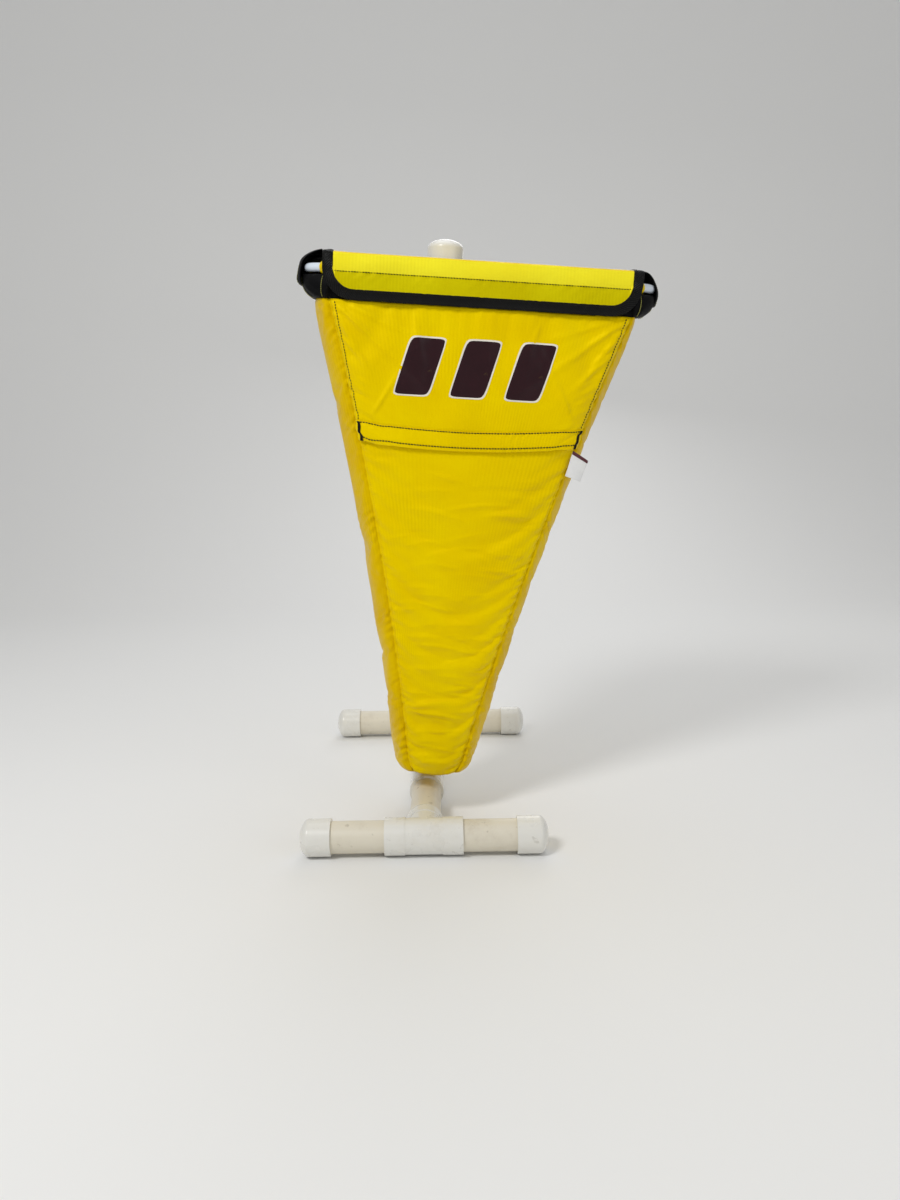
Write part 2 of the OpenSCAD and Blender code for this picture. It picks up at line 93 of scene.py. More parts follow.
LID_W, BINDING_W, BINDING_T = 568.0, 17.0, 3.5
HINGE_SAG = 12.0
LID_HALF = LID_W / 2 - BINDING_W
HINGE_Y, HINGE_Z = BACK_Y - FABRIC_T - 5.0, TOP_Z + 113.0
FOLD_Y, FOLD_Z = HOOP_FRONT_Y - CASING_R - 3.0 - BINDING_T / 2, TOP_Z + 76.0
LID_PITCH = math.degrees(math.atan((HINGE_Z - FOLD_Z) / (HINGE_Y - FOLD_Y)))
LID_LEN = (HINGE_Y - FOLD_Y) / math.cos(math.radians(LID_PITCH))
DROP_H, DROP_CORNER, DROP_LEAN = 76.0, 56.0, 3.0
OVERLAY_LOW = TOP_Z - 250.0
UPPER_LOOP_Z, LOWER_LOOP_Z = 960.0, 560.0


def T(x, y, z):
    return Matrix.Translation((x, y, z))


def R(axis, degrees):
    return Matrix.Rotation(math.radians(degrees), 4, axis)


ON_POST = T(0, 0, AXIS_Z) @ R("Y", POST_LEAN) @ T(0, 0, -AXIS_Z)
ON_LOOPS = ON_POST @ R("Z", BAG_TURN)
ON_BAG = ON_LOOPS @ T(BAG_OFFSET, 0, AXIS_Z) @ R("Y", BAG_TILT) @ T(0, 0, -AXIS_Z)
ON_HOOP = ON_BAG @ T(0, HOOP_BACK_Y, HOOP_BACK_Z) @ R("X", HOOP_PITCH)


def put(matrix, points):
    """Points in mm in a frame, as metres in the row frame."""
    m = np.array(matrix, float)
    p = np.asarray(points, float)
    return (p @ m[:3, :3].T + m[:3, 3]) / 1000


# ---------- the camera, at the photograph's viewing angle ----------
CAM_POS = (56.0, -2086.4, 784.1)
CAM_PITCH, CAM_ROLL, CAM_YAW, CAM_FOCAL_PX = 9.652, 0.926, -0.023, 1008.2
IMAGE_LONG_PX, SENSOR_MM = 1200, 36.0


def make_camera():
    pitch, roll, yaw = (math.radians(v) for v in (CAM_PITCH, CAM_ROLL, CAM_YAW))
    f = np.array([math.sin(yaw) * math.cos(pitch), math.cos(yaw) * math.cos(pitch), -math.sin(pitch)])
    right = np.array([math.cos(yaw), -math.sin(yaw), 0.0])
    up = np.cross(right, f)
    c, s = math.cos(roll), math.sin(roll)
    r2, u2 = c * right - s * up, s * right + c * up
    data = bpy.data.cameras.new("camera")
    data.sensor_width = SENSOR_MM
    data.lens = CAM_FOCAL_PX / IMAGE_LONG_PX * SENSOR_MM
    data.clip_start, data.clip_end = 0.05, 60
    cam = bpy.data.objects.new("camera", data)
    m = Matrix.Identity(4)
    for i in range(3):
        m[i][0], m[i][1], m[i][2], m[i][3] = r2[i], u2[i], -f[i], CAM_POS[i] / 1000
    cam.matrix_world = m
    bpy.context.scene.collection.objects.link(cam)
    bpy.context.scene.camera = cam


make_camera()


# ---------- smooth fields that make cloth uneven, the same on each run ----------
def field(seed, wave, count=9, stretch=(1.0, 1.0)):
    """A smooth random field of about unit size, whose waves are about `wave` mm long."""
    rng = np.random.default_rng(seed)
    a = rng.uniform(0, 2 * math.pi, count)
    k = 2 * math.pi / (wave * rng.uniform(0.65, 1.6, count))
    kx, ky = k * np.cos(a) / stretch[0], k * np.sin(a) / stretch[1]
    ph = rng.uniform(0, 2 * math.pi, count)

    def value(x, y):
        x, y = np.asarray(x, float), np.asarray(y, float)
        out = np.zeros(np.broadcast(x, y).shape)
        for i in range(count):
            out = out + np.sin(kx[i] * x + ky[i] * y + ph[i])
        return out / math.sqrt(count / 2)

    return value


def pucker(seed, wave):
    """Short gathers along a seam: s runs along it, d is the distance from it."""
    drift, size = field(seed, wave * 7), field(seed + 1, wave * 5)

    def value(s, d, lean=0.5, reach=22.0):
        phase = 2 * math.pi * (s + lean * d) / wave + 2.2 * drift(s, d * 0.3)
        return np.sin(phase) * (0.65 + 0.45 * size(s, 0)) * np.exp(-np.maximum(d, 0) / reach)

    return value


# ---------- meshes ----------
def mesh_object(name, points, faces, uvs=None):
    """points in metres, and uvs as one (u, v) in metres for each face corner."""
    data = bpy.data.meshes.new(name)
    data.from_pydata([tuple(p) for p in points], [], faces)
    if uvs is not None:
        layer = data.uv_layers.new(name="cloth")
        layer.data.foreach_set("uv", np.asarray(uvs, np.float32).ravel())
    data.polygons.foreach_set("use_smooth", [True] * len(data.polygons))
    data.update()
    o = bpy.data.objects.new(name, data)
    bpy.context.scene.collection.objects.link(o)
    return o


def along(points, axis):
    """Distance along a grid of points in one direction, in its own units."""
    d = np.linalg.norm(np.diff(points, axis=axis), axis=2)
    pad = [(0, 0), (0, 0)]
    pad[axis] = (1, 0)
    return np.pad(np.cumsum(d, axis=axis), pad)


def distance(line):
    """Distance along a line of points, from its start."""
    return np.concatenate([[0], np.cumsum(np.linalg.norm(np.diff(line, axis=0), axis=1))])


def quad(i, j, k, cols):
    """The face between rows i and i + 1, and columns j and k, of a grid of points."""
    return i * cols + j, i * cols + k, (i + 1) * cols + k, (i + 1) * cols + j


def subdivide(o):
    m = o.modifiers.new("smooth", "SUBSURF")
    m.levels = m.render_levels = 1


def grid_object(name, matrix, grid, wrap=False, thick=1.0, side=-1.0, smooth=True):
    """A sheet over a grid of points in mm (rows, columns). side is where its thickness goes: -1 is inwards."""
    rows, cols = grid.shape[:2]
    across = along(grid, 1).mean(axis=0)
    up = along(grid, 0).mean(axis=1)
    faces, uvs = [], []
    last = cols if wrap else cols - 1
    closing = across[-1] + np.linalg.norm(grid[:, 0] - grid[:, -1], axis=1).mean()
    for i in range(rows - 1):
        for j in range(last):
            k = (j + 1) % cols
            faces.append(quad(i, j, k, cols))
            u0, u1 = across[j], closing if k == 0 else across[k]
            uvs += [(u0, up[i]), (u1, up[i]), (u1, up[i + 1]), (u0, up[i + 1])]
    o = mesh_object(name, put(matrix, grid.reshape(-1, 3)), faces, np.array(uvs) / 1000)
    m = o.modifiers.new("thickness", "SOLIDIFY")
    m.thickness, m.offset, m.use_even_offset = thick / 1000, side, False
    if smooth:
        subdivide(o)
    return o


def tube_object(name, matrix, rings, cap_ends=True):
    """A closed solid from rings of points (rings, points in each), in mm."""
    n, m = rings.shape[:2]
    lengths = distance(rings.mean(axis=1))
    girth = distance(rings[0])
    girth = np.append(girth, girth[-1] + np.linalg.norm(rings[0][0] - rings[0][-1]))
    faces, uvs = [], []
    for i in range(n - 1):
        for j in range(m):
            faces.append(quad(i, j, (j + 1) % m, m))
            uvs += [(girth[j], lengths[i]), (girth[j + 1], lengths[i]),
                    (girth[j + 1], lengths[i + 1]), (girth[j], lengths[i + 1])]
    if cap_ends:
        faces += [tuple(range(m - 1, -1, -1)), tuple((n - 1) * m + j for j in range(m))]
        uvs += [(0, 0)] * (2 * m)
    o = mesh_object(name, put(matrix, rings.reshape(-1, 3)), faces, np.array(uvs) / 1000)
    subdivide(o)
    return o


def unit(v):
    return v / np.maximum(np.linalg.norm(v, axis=-1, keepdims=True), 1e-9)


def normals(grid):
    """Normals of a grid of points, facing the way that columns cross rows."""
    du = np.gradient(grid, axis=1)
    dv = np.gradient(grid, axis=0)
    return unit(np.cross(du, dv))


def sample(grid, i, j):
    """The grid at fractional rows i and columns j."""
    rows, cols = grid.shape[:2]
    i, j = np.clip(i, 0, rows - 1), np.clip(j, 0, cols - 1)
    i0, j0 = np.minimum(i.astype(int), rows - 2), np.minimum(j.astype(int), cols - 2)
    a, b = (i - i0)[..., None], (j - j0)[..., None]
    return ((1 - a) * (1 - b) * grid[i0, j0] + a * (1 - b) * grid[i0 + 1, j0]
            + (1 - a) * b * grid[i0, j0 + 1] + a * b * grid[i0 + 1, j0 + 1])


def read_along(s, d, values):
    """Values given at distances d along a line, read at distances s."""
    return np.stack([np.interp(s, d, values[:, k]) for k in range(3)], axis=1)


# A stitch's five rings: place along it, size, and height over the cloth, in shares of its length and radius
BEAD = ((-0.5, 0.25, -0.3), (-0.36, 0.9, 0.3), (0.0, 1.1, 0.55), (0.36, 0.9, 0.3), (0.5, 0.25, -0.3))
BEAD_SINK = 0.12


def stitches(name, matrix, lines, pitch, length, radius):
    """Sewing thread: one small rounded bead for each stitch. lines are (points, outward directions) in mm."""
    pts, faces = [], []
    for line, out in lines:
        d = distance(line)
        count = max(2, int(d[-1] / pitch))
        s = (np.arange(count) + 0.5) * d[-1] / count
        p = read_along(s, d, line)
        t = unit(read_along(s + 0.1, d, line) - read_along(s - 0.1, d, line))
        n = unit(read_along(s, d, out))
        b = unit(np.cross(t, n))
        for k in range(count):
            start = len(pts)
            for along_it, r, rise in BEAD:
                c = p[k] + t[k] * length * along_it + n[k] * (radius * rise - BEAD_SINK)
                for a in range(5):
                    ang = 2 * math.pi * a / 5
                    pts.append(c + (b[k] * math.cos(ang) + n[k] * math.sin(ang)) * radius * r)
            for i in range(4):
                for j in range(5):
                    faces.append(tuple(start + v for v in quad(i, j, (j + 1) % 5, 5)))
            faces.append(tuple(start + 4 - j for j in range(5)))
            faces.append(tuple(start + 20 + j for j in range(5)))
    return mesh_object(name, put(matrix, np.array(pts)), faces)


def finish_piece(o, body, material, replaced=()):
    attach(o, body)
    if replaced:
        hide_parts(*replaced)
    o.data.materials.clear()
    o.data.materials.append(material)
    return o


# ---------- materials ----------
def nodes_of(name, color, roughness, coat=0.0, coat_roughness=0.2, sheen=0.0, specular=0.5, tint=(1, 1, 1)):
    m = bpy.data.materials.new(name)
    m.use_nodes = True
    tree = m.node_tree
    b = tree.nodes["Principled BSDF"]
    for socket, value in (
            ("Base Color", (*color, 1)), ("Roughness", roughness), ("Coat Weight", coat),
            ("Coat Roughness", coat_roughness), ("Sheen Weight", sheen), ("Sheen Roughness", 0.4),
            ("Specular IOR Level", specular), ("Specular Tint", (*tint, 1))):
        b.inputs[socket].default_value = value
    return m, tree, b


def node(tree, kind, **values):
    n = tree.nodes.new(kind)
    for k, v in values.items():
        if k in n.inputs:
            n.inputs[k].default_value = v
        else:
            setattr(n, k, v)
    return n


def coordinates(tree, cloth, turn=(0, 0, 0)):
    """Cloth is patterned in metres along its own grid, and everything else in the object's own metres."""
    c = node(tree, "ShaderNodeTexCoord")
    m = node(tree, "ShaderNodeMapping", Rotation=turn)
    tree.links.new(c.outputs["UV" if cloth else "Object"], m.inputs["Vector"])
    return m.outputs["Vector"]


def noise(tree, vector, scale, detail=4.0, rough=0.55):
    n = node(tree, "ShaderNodeTexNoise", Scale=scale, Detail=detail, Roughness=rough)
    tree.links.new(vector, n.inputs["Vector"])
    return n.outputs["Fac"]


def wave(tree, vector, pitch, direction="X", distortion=0.0):
    """Bands `pitch` metres apart: Blender's wave has 20 radians to a unit at a scale of 1."""
    n = node(tree, "ShaderNodeTexWave", Scale=2 * math.pi / 20 / pitch, Distortion=distortion,
             bands_direction=direction)
    tree.links.new(vector, n.inputs["Vector"])
    return n.outputs["Fac"]


def ramp(tree, value, low, high, a, b):
    n = node(tree, "ShaderNodeMapRange")
    for socket, v in (("From Min", low), ("From Max", high), ("To Min", a), ("To Max", b)):
        n.inputs[socket].default_value = v
    tree.links.new(value, n.inputs["Value"])
    return n.outputs["Result"]


def blend_colors(tree, factor, a, b):
    n = node(tree, "ShaderNodeMix", data_type="RGBA")
    n.inputs["A"].default_value = (*a, 1) if isinstance(a, tuple) else (0, 0, 0, 1)
    n.inputs["B"].default_value = (*b, 1)
    if not isinstance(a, tuple):
        tree.links.new(a, n.inputs["A"])
    tree.links.new(factor, n.inputs["Factor"])
    return n.outputs["Result"]


def combine(tree, operation, a, b):
    n = node(tree, "ShaderNodeMath", operation=operation)
    for i, v in enumerate((a, b)):
        if isinstance(v, (int, float)):
            n.inputs[i].default_value = v
        else:
            tree.links.new(v, n.inputs[i])
    return n.outputs["Value"]


def bump(tree, b, height, strength, distance, after=None):
    n = node(tree, "ShaderNodeBump", Strength=strength, Distance=distance)
    tree.links.new(height, n.inputs["Height"])
    if after:
        tree.links.new(after, n.inputs["Normal"])
    tree.links.new(n.outputs["Normal"], b.inputs["Normal"])
    return n.outputs["Normal"]


def woven(name, color, shade, roughness, thread=0.0009, sheen=0.0, rib=0.0, weave=0.35, worn=None,
          specular=0.5, tint=(1, 1, 1)):
    """Coated woven cloth: a plain weave, fainter vertical ribs, slow changes of colour and a little wear."""
    m, t, b = nodes_of(name, color, roughness, sheen=sheen, specular=specular, tint=tint)
    uv = coordinates(t, True)
    warp = wave(t, uv, 2 * thread)
    weft = wave(t, uv, 2 * thread, "Y")
    cells = combine(t, "MULTIPLY", warp, weft)
    slow = noise(t, uv, 7.0, 5.0)
    fine = noise(t, uv, 90.0, 4.0)
    c = blend_colors(t, ramp(t, slow, 0.3, 0.75, 0, 1), color, shade)
    c = blend_colors(t, ramp(t, fine, 0.52, 0.8, 0, 0.35), c, shade)
    if worn:
        c = blend_colors(t, ramp(t, noise(t, uv, 26.0, 8.0, 0.7), 0.62, 0.78, 0, 0.5), c, worn)
    if rib:
        ribs = wave(t, uv, rib, distortion=0.8)
        seen = combine(t, "MULTIPLY", ribs, ramp(t, noise(t, uv, 5.0, 2.0), 0.4, 0.65, 0.0, 0.30))
        c = blend_colors(t, seen, c, tuple(0.80 * v for v in shade))
    t.links.new(c, b.inputs["Base Color"])
    t.links.new(ramp(t, fine, 0.25, 0.8, roughness - 0.06, roughness + 0.10), b.inputs["Roughness"])
    n = bump(t, b, cells, weave, thread * 0.5)
    if rib:
        n = bump(t, b, ribs, 0.22, 0.0005, n)
    bump(t, b, noise(t, uv, 160.0, 3.0), 0.18, 0.0008, n)
    return m


def plastic(name, color, stain, roughness, coat):
    """Pipe and fitting plastic: faint moulding waviness, scuffs, and dirt that has rubbed in."""
    m, t, b = nodes_of(name, color, roughness, coat=coat, coat_roughness=0.12)
    p = coordinates(t, False)
    dirt = combine(t, "MULTIPLY", ramp(t, noise(t, p, 9.0, 8.0, 0.65), 0.5, 0.75, 0, 1),
                   ramp(t, noise(t, p, 60.0, 5.0, 0.7), 0.4, 0.7, 0.1, 0.6))
    c = blend_colors(t, dirt, color, stain)
    marks = ramp(t, noise(t, p, 55.0, 3.0, 0.5), 0.66, 0.72, 0, 0.35)
    c = blend_colors(t, marks, c, tuple(v * 0.62 for v in stain))
    t.links.new(c, b.inputs["Base Color"])
    rough = combine(t, "ADD", ramp(t, noise(t, p, 24.0, 6.0), 0.3, 0.7, roughness - 0.05, roughness + 0.12),
                    combine(t, "MULTIPLY", marks, 0.5))
    t.links.new(rough, b.inputs["Roughness"])
    n = bump(t, b, noise(t, p, 14.0, 2.0), 0.12, 0.002)
    bump(t, b, noise(t, p, 120.0, 4.0), 0.10, 0.0004, n)
    return m


YELLOW_CLOTH = dict(rib=0.0060, specular=0.55, tint=(1.0, 0.80, 0.0))
YELLOW = woven("yellow_nylon", (0.90, 0.67, 0.0), (0.82, 0.56, 0.0), 0.38, **YELLOW_CLOTH)
# A darker copy of the same yellow nylon: painted shade for the sides and the bottom
YELLOW_SIDES_PAINTED_SHADE = woven("yellow_nylon_side_painted_shade", (0.80, 0.55, 0.0), (0.70, 0.43, 0.0), 0.40, **YELLOW_CLOTH)
# A lighter copy of the same yellow nylon: painted light on the drop above its closure stitching
YELLOW_TOP_PAINTED_LIGHT = woven("yellow_nylon_lit", (0.98, 0.88, 0.03), (0.92, 0.78, 0.02), 0.36, **YELLOW_CLOTH)
# A darker, olive copy of the same yellow nylon: painted shade on the drop below its closure stitching
YELLOW_LOW_PAINTED_SHADE = woven("yellow_nylon_low_painted_shade", (0.68, 0.60, 0.003), (0.56, 0.46, 0.001), 0.38, **YELLOW_CLOTH)
BLACK = woven("black_nylon", (0.0035, 0.0035, 0.0038), (0.006, 0.006, 0.0065), 0.50,
              worn=(0.008, 0.008, 0.008), specular=0.05)
WEBBING = woven("black_webbing", (0.008, 0.008, 0.009), (0.014, 0.014, 0.015), 0.6, thread=0.0016, sheen=0.1,
                weave=0.9, specular=0.25)
TAPE = woven("hook_and_loop", (0.014, 0.014, 0.015), (0.024, 0.024, 0.025), 0.8, thread=0.0013, sheen=0.3,
             weave=1.0, specular=0.2)
THREAD = woven("dark_thread", (0.010, 0.009, 0.005), (0.018, 0.016, 0.008), 0.55, thread=0.0004, specular=0.2)
OLIVE_THREAD = woven("olive_thread", (0.26, 0.26, 0.06), (0.34, 0.32, 0.08), 0.55, thread=0.0004,
                     specular=0.3)
TAG = woven("tag_cloth", (0.80, 0.80, 0.79), (0.70, 0.70, 0.70), 0.55, thread=0.0005, sheen=0.1)
MAROON = woven("maroon_edge", (0.09, 0.012, 0.02), (0.06, 0.01, 0.016), 0.55, thread=0.0005)
PIPE = plastic("pipe_plastic", (0.74, 0.69, 0.57), (0.42, 0.34, 0.23), 0.42, 0.10)
FITTING = plastic("fitting_plastic", (0.78, 0.77, 0.72), (0.62, 0.57, 0.47), 0.26, 0.35)
TUBE = plastic("hoop_tube", (0.72, 0.79, 0.87), (0.55, 0.60, 0.66), 0.28, 0.3)
COUPLING = plastic("coupling", (0.30, 0.30, 0.31), (0.18, 0.18, 0.18), 0.45, 0.0)


def twill():
    m, t, b = nodes_of("black_twill", (0.004, 0.004, 0.005), 0.32, specular=0.12)
    uv = coordinates(t, True, turn=(0, 0, math.radians(45)))
    ridges = wave(t, uv, 0.0032)
    # The lighter colour on each diagonal ridge is a painted highlight; the ridges' relief is the bump below
    c = blend_colors(t, ridges, (0.0015, 0.0015, 0.0018), (0.011, 0.011, 0.010))
    t.links.new(c, b.inputs["Base Color"])
    n = bump(t, b, ridges, 0.9, 0.0009)
    bump(t, b, noise(t, coordinates(t, True), 60.0, 4.0), 0.3, 0.001, n)
    return m


def film(name, color, crack):
    """Heat-transfer film: satin, with fine cracks where the cloth under it has creased."""
    m, t, b = nodes_of(name, color, 0.34, specular=0.25)
    uv = coordinates(t, True)
    v = node(t, "ShaderNodeTexVoronoi", feature="DISTANCE_TO_EDGE", Scale=70.0)
    t.links.new(uv, v.inputs["Vector"])
    lines = combine(t, "MULTIPLY", ramp(t, v.outputs["Distance"], 0.0, 0.02, 1, 0),
                    ramp(t, noise(t, uv, 18.0, 4.0), 0.58, 0.68, 0, 0.8))
    lighter = tuple(k * 1.35 for k in color)
    c = blend_colors(t, ramp(t, noise(t, uv, 30.0, 5.0), 0.3, 0.8, 0, 1), color, lighter)
    t.links.new(blend_colors(t, lines, c, crack), b.inputs["Base Color"])
    bump(t, b, noise(t, uv, 300.0, 3.0), 0.15, 0.0004)
    return m


TWILL = twill()
DARK_FILM = film("dark_film", (0.020, 0.0035, 0.006), (0.30, 0.22, 0.05))
PALE_FILM = film("pale_film", (0.72, 0.68, 0.60), (0.60, 0.50, 0.10))


def panel(name, grid, slot, material, replaced=(), body="bag", **how):
    """A finished sheet; `how` is what grid_object takes."""
    return finish_piece(grid_object(name, ON_BAG, grid, **how), body, material, replaced)


def sew(name, lines, pitch, length, radius, material=THREAD, body="bag", matrix=ON_BAG,
        replaced=()):
    """Finished stitching."""
    return finish_piece(stitches(name, matrix, lines, pitch, length, radius), body, material, replaced)


for n in frame["nodes"]:
    kind = (PIPE if n.endswith("_pipe") else FITTING if n.endswith(("_tee", "_cap"))
            else TUBE if n == "mouth_hoop" else COUPLING if n == "hoop_coupling"
            else TAPE if "closure" in n else None)
    if kind:
        nodes[n].data.materials.clear()
        nodes[n].data.materials.append(kind)


# ---------- the bag's surfaces, as the CAD states them ----------
def mix(a, b, u):
    return a + (b - a) * u


def level(z):
    return (z - FOOT_Z) / (TOP_Z - FOOT_Z)


def seam_half(z):
    return FOOT_W / 2 + ((MOUTH_W - FOOT_W) / 2 - FLARE) * level(z) + FLARE * level(z) ** 2


def sway(z):
    return -BAG_SWAY * (1 - level(z))


def front_y(z):
    return BACK_Y - mix(FOOT_DEPTH, MOUTH_DEPTH, level(z))


def crown(z):
    return CROWN * 4 * np.maximum(0, level(z) * (1 - level(z)))


def belly(q):
    return np.sin(np.pi * q) ** (2 / SIDE_POWER)


def run(q):
    c = np.cos(np.pi * q)
    return (1 - np.sign(c) * np.abs(c) ** (2 / SIDE_POWER)) / 2


NF, NS, NB, NR = 52, 22, 36, 150
V = np.linspace(0, 1, NR + 1)[:, None]
# How far each side bulges at its foot and at its mouth, and how tall the part is where that starts
SIDE_FULL = {1: (20.0, 11.0), -1: (24.0, 25.0)}
FOOT_ROUND = 45.0
BACK_CLOTH_Y = BACK_Y - 0.6


def front_part(u):
    z = mix(FOOT_Z, TOP_Z, V) + 0 * u
    return np.stack([sway(z) + u * seam_half(z), front_y(z) - crown(z) * (1 - u * u), z], axis=2)


def side_part(q, s):
    z = mix(FOOT_Z - FOOT_DROP * run(q), TOP_Z + HOOP_RISE * run(q), V)
    fade = np.clip((z - FOOT_Z + FOOT_DROP) / FOOT_ROUND, 0.15, 1) ** 0.5
    x = seam_half(z) + mix(*SIDE_FULL[s], level(z)) * belly(q) * fade
    return np.stack([sway(z) + s * x, mix(front_y(z), BACK_CLOTH_Y, run(q)), z], axis=2)


def back_part(u):
    z = mix(FOOT_Z - FOOT_DROP, TOP_Z + HOOP_RISE, V) + 0 * u
    return np.stack([sway(z) + u * seam_half(z), BACK_CLOTH_Y + 0 * z, z], axis=2)


def columns(fine):
    """Places across the front, a side and the back, round from the left front seam."""
    return (np.linspace(-1, 1, NF * fine + 1)[None, :-1], np.linspace(0, 1, NS * fine + 1)[None, :-1],
            np.linspace(1, -1, NB * fine + 1)[None, :-1])


U, Q, W = columns(1)
body = np.concatenate([front_part(U), side_part(Q, 1), back_part(W), side_part(1 - Q, -1)], axis=1)
NC = body.shape[1]
SEAMS = (0, NF, NF + NS, NF + NS + NB)


def halfway(rows):
    """Smooth points halfway between each row and the next."""
    m = (rows[:-1] + rows[1:]) / 2
    m[1:-1] = (9 * (rows[1:-2] + rows[2:-1]) - rows[:-3] - rows[3:]) / 16
    return m


def refine(grid):
    """Twice the rows and columns of a grid that closes round."""
    n = grid.shape[1]
    wide = np.empty((grid.shape[0], 2 * n, 3))
    wide[:, 0::2] = grid
    closed = np.concatenate([grid[:, -1:], grid, grid[:, :2]], axis=1).swapaxes(0, 1)
    wide[:, 1::2] = halfway(closed).swapaxes(0, 1)[:, 1:-1]
    out = np.empty((2 * grid.shape[0] - 1, 2 * n, 3))
    out[0::2], out[1::2] = wide, halfway(wide)
    return out


def simulate(grid, pinned, frames, pressure, grow, limit):
    """Lets a closed band of cloth settle under its own weight and a little air, its pinned points held."""
    o = mesh_object("cloth_try", put(ON_BAG, grid.reshape(-1, 3)),
                    [quad(i, j, (j + 1) % NC, NC) for i in range(grid.shape[0] - 1) for j in range(NC)])
    group = o.vertex_groups.new(name="pinned")
    for w in np.unique(pinned):
        if w > 0:
            group.add([int(k) for k in np.flatnonzero(pinned.ravel() == w)], float(w), "REPLACE")
    c = o.modifiers.new("cloth", "CLOTH")
    s = c.settings
    s.quality, s.mass, s.air_damping = 6, 0.12, 2.0
    s.tension_stiffness = s.compression_stiffness = 12.0
    s.shear_stiffness, s.bending_stiffness = 6.0, 2.0
    s.vertex_group_mass, s.pin_stiffness = "pinned", 1.0
    s.shrink_min = -grow
    s.use_pressure, s.uniform_pressure_force = True, pressure
    s.effector_weights.gravity = 0.35
    c.collision_settings.use_collision = False
    c.point_cache.frame_start, c.point_cache.frame_end = 1, frames
    scene = bpy.context.scene
    for f in range(1, frames + 1):
        scene.frame_set(f)
    dg = bpy.context.evaluated_depsgraph_get()
    e = o.evaluated_get(dg).to_mesh()
    co = np.zeros(len(e.vertices) * 3)
    e.vertices.foreach_get("co", co)
    bpy.data.objects.remove(o)
    scene.frame_set(1)
    m = np.array(ON_BAG.inverted(), float)
    moved = (co.reshape(-1, 3) * 1000) @ m[:3, :3].T + m[:3, 3]
    step = moved.reshape(grid.shape) - grid
    size = np.linalg.norm(step, axis=2, keepdims=True)
    return grid + step * np.where(size > limit, limit / np.maximum(size, 1e-9), 1.0)


pins = np.zeros(body.shape[:2])
for j in SEAMS:
    pins[:, j] = 1.0
pins[0], pins[-1] = 1.0, 1.0
pins[:, SEAMS[2]:SEAMS[3] + 1] = 1.0
body = simulate(body, pins, frames=26, pressure=0.30, grow=0.007, limit=7.0)
body = refine(body)
U, Q, W = columns(2)
NF, NR, NC, SEAMS = 2 * NF, 2 * NR, 2 * NC, tuple(2 * j for j in SEAMS)
C1, C2, C3 = SEAMS[1:]
# How far each point is from the nearest seam along its own row
d = np.min([np.linalg.norm(body - body[:, [j]], axis=2) for j in SEAMS], axis=0)


def creases(seed, count, x, z, low, high, long, tall):
    """Short crisp creases across the front, sharper above than below."""
    rng = np.random.default_rng(seed)
    out = np.zeros(x.shape)
    for _ in range(count):
        z0 = rng.uniform(low, high)
        x0 = sway(z0) + rng.uniform(-0.95, 0.95) * seam_half(z0)
        lean, reach, width = rng.normal(0, 0.15), rng.uniform(0.5, 1.3) * long, rng.uniform(3.5, 8.0)
        size = rng.uniform(0.35, 1.0) * tall
        s = x - x0
        t = z - z0 - lean * s + 0.0015 * s * s
        across_it = np.exp(-(t / np.where(t > 0, 0.5 * width, 1.5 * width)) ** 2)
        out += size * across_it * np.exp(-2 * (s / reach) ** 2)
    return out


# Seams pulled in, the cloth full between them, gathers along them and short creases across the lower half
N = normals(np.concatenate([body[:, -1:], body, body[:, :1]], axis=1))[:, 1:-1]
zz, jj = body[..., 2], np.arange(NC)[None, :] + 0 * body[..., 2]
is_back = (jj >= C2) & (jj <= C3)
is_side = ((jj > C1) & (jj < C2)) | (jj > C3)
full = 3.8 * (1 - np.exp(-d / 10.0)) - 2.4 * np.exp(-(d / 3.5) ** 2)
gathers = 1.2 * pucker(11, 19.0)(zz, d) + 0.9 * pucker(15, 11.0)(zz, d, -0.8, 12.0)
side_gathers = 1.7 * pucker(21, 21.0)(zz, d, 0.9, 26.0) + 0.8 * pucker(25, 12.0)(zz, d, 0.6, 16.0)
folds = 1.2 * field(31, 110.0, stretch=(2.6, 1.0))(body[..., 0], zz) * np.clip((820 - zz) / 400, 0.15, 1)
folds = folds + creases(33, 80, body[..., 0], zz, FOOT_Z + 15, OVERLAY_LOW - 10, 60.0, 3.6)
folds = folds - creases(37, 26, body[..., 0], zz, FOOT_Z + 15, OVERLAY_LOW - 10, 75.0, 1.8)
edge_fade = np.clip((TOP_Z + 20 - zz) / 40, 0.0, 1.0) * np.clip((zz - FOOT_Z + FOOT_DROP) / 12, 0, 1)
off = np.where(is_side, full * 0.5 + side_gathers + folds * 0.4,
               full + gathers + folds * np.clip(d / 30, 0, 1))
off = np.where(is_back, 0.35 * gathers - 0.6 * np.clip(d / 20, 0, 1), off)
body = body + N * (off * edge_fade)[..., None]
# Nothing of the back goes past the plane that the loops are sewn on
body[..., 1] = np.minimum(body[..., 1], BACK_Y - 0.15)
# The lower edge hangs a little lower in the middle of the front, and its corners are round
FOOT_BOW, FOOT_PULL = 5.0, 9.0
across = np.where(jj <= C1, 1 - (2 * jj / C1 - 1) ** 2, 0.0)
near_foot = np.maximum(body[..., 2] - body[0, :, 2], 0)
body[..., 2] -= FOOT_BOW * across * np.exp(-near_foot / 30)
outward = np.clip((body[..., 0] - sway(FOOT_Z)) / (FOOT_W / 2), -1, 1)
body[..., 0] -= FOOT_PULL * outward ** 5 * np.exp(-near_foot / 9)

bag_body = panel("bag_body", body, "yellow_cloth", YELLOW,
                 ("front_panel", "back_panel", "left_side_panel", "right_side_panel"),
                 wrap=True, thick=1.6, smooth=False)
# The side columns take the darker copy of the yellow, as painted shade
bag_body.data.materials.append(YELLOW_SIDES_PAINTED_SHADE)
for k, f in enumerate(bag_body.data.polygons):
    f.material_index = 1 if C1 <= k % NC < C2 or k % NC >= C3 else 0
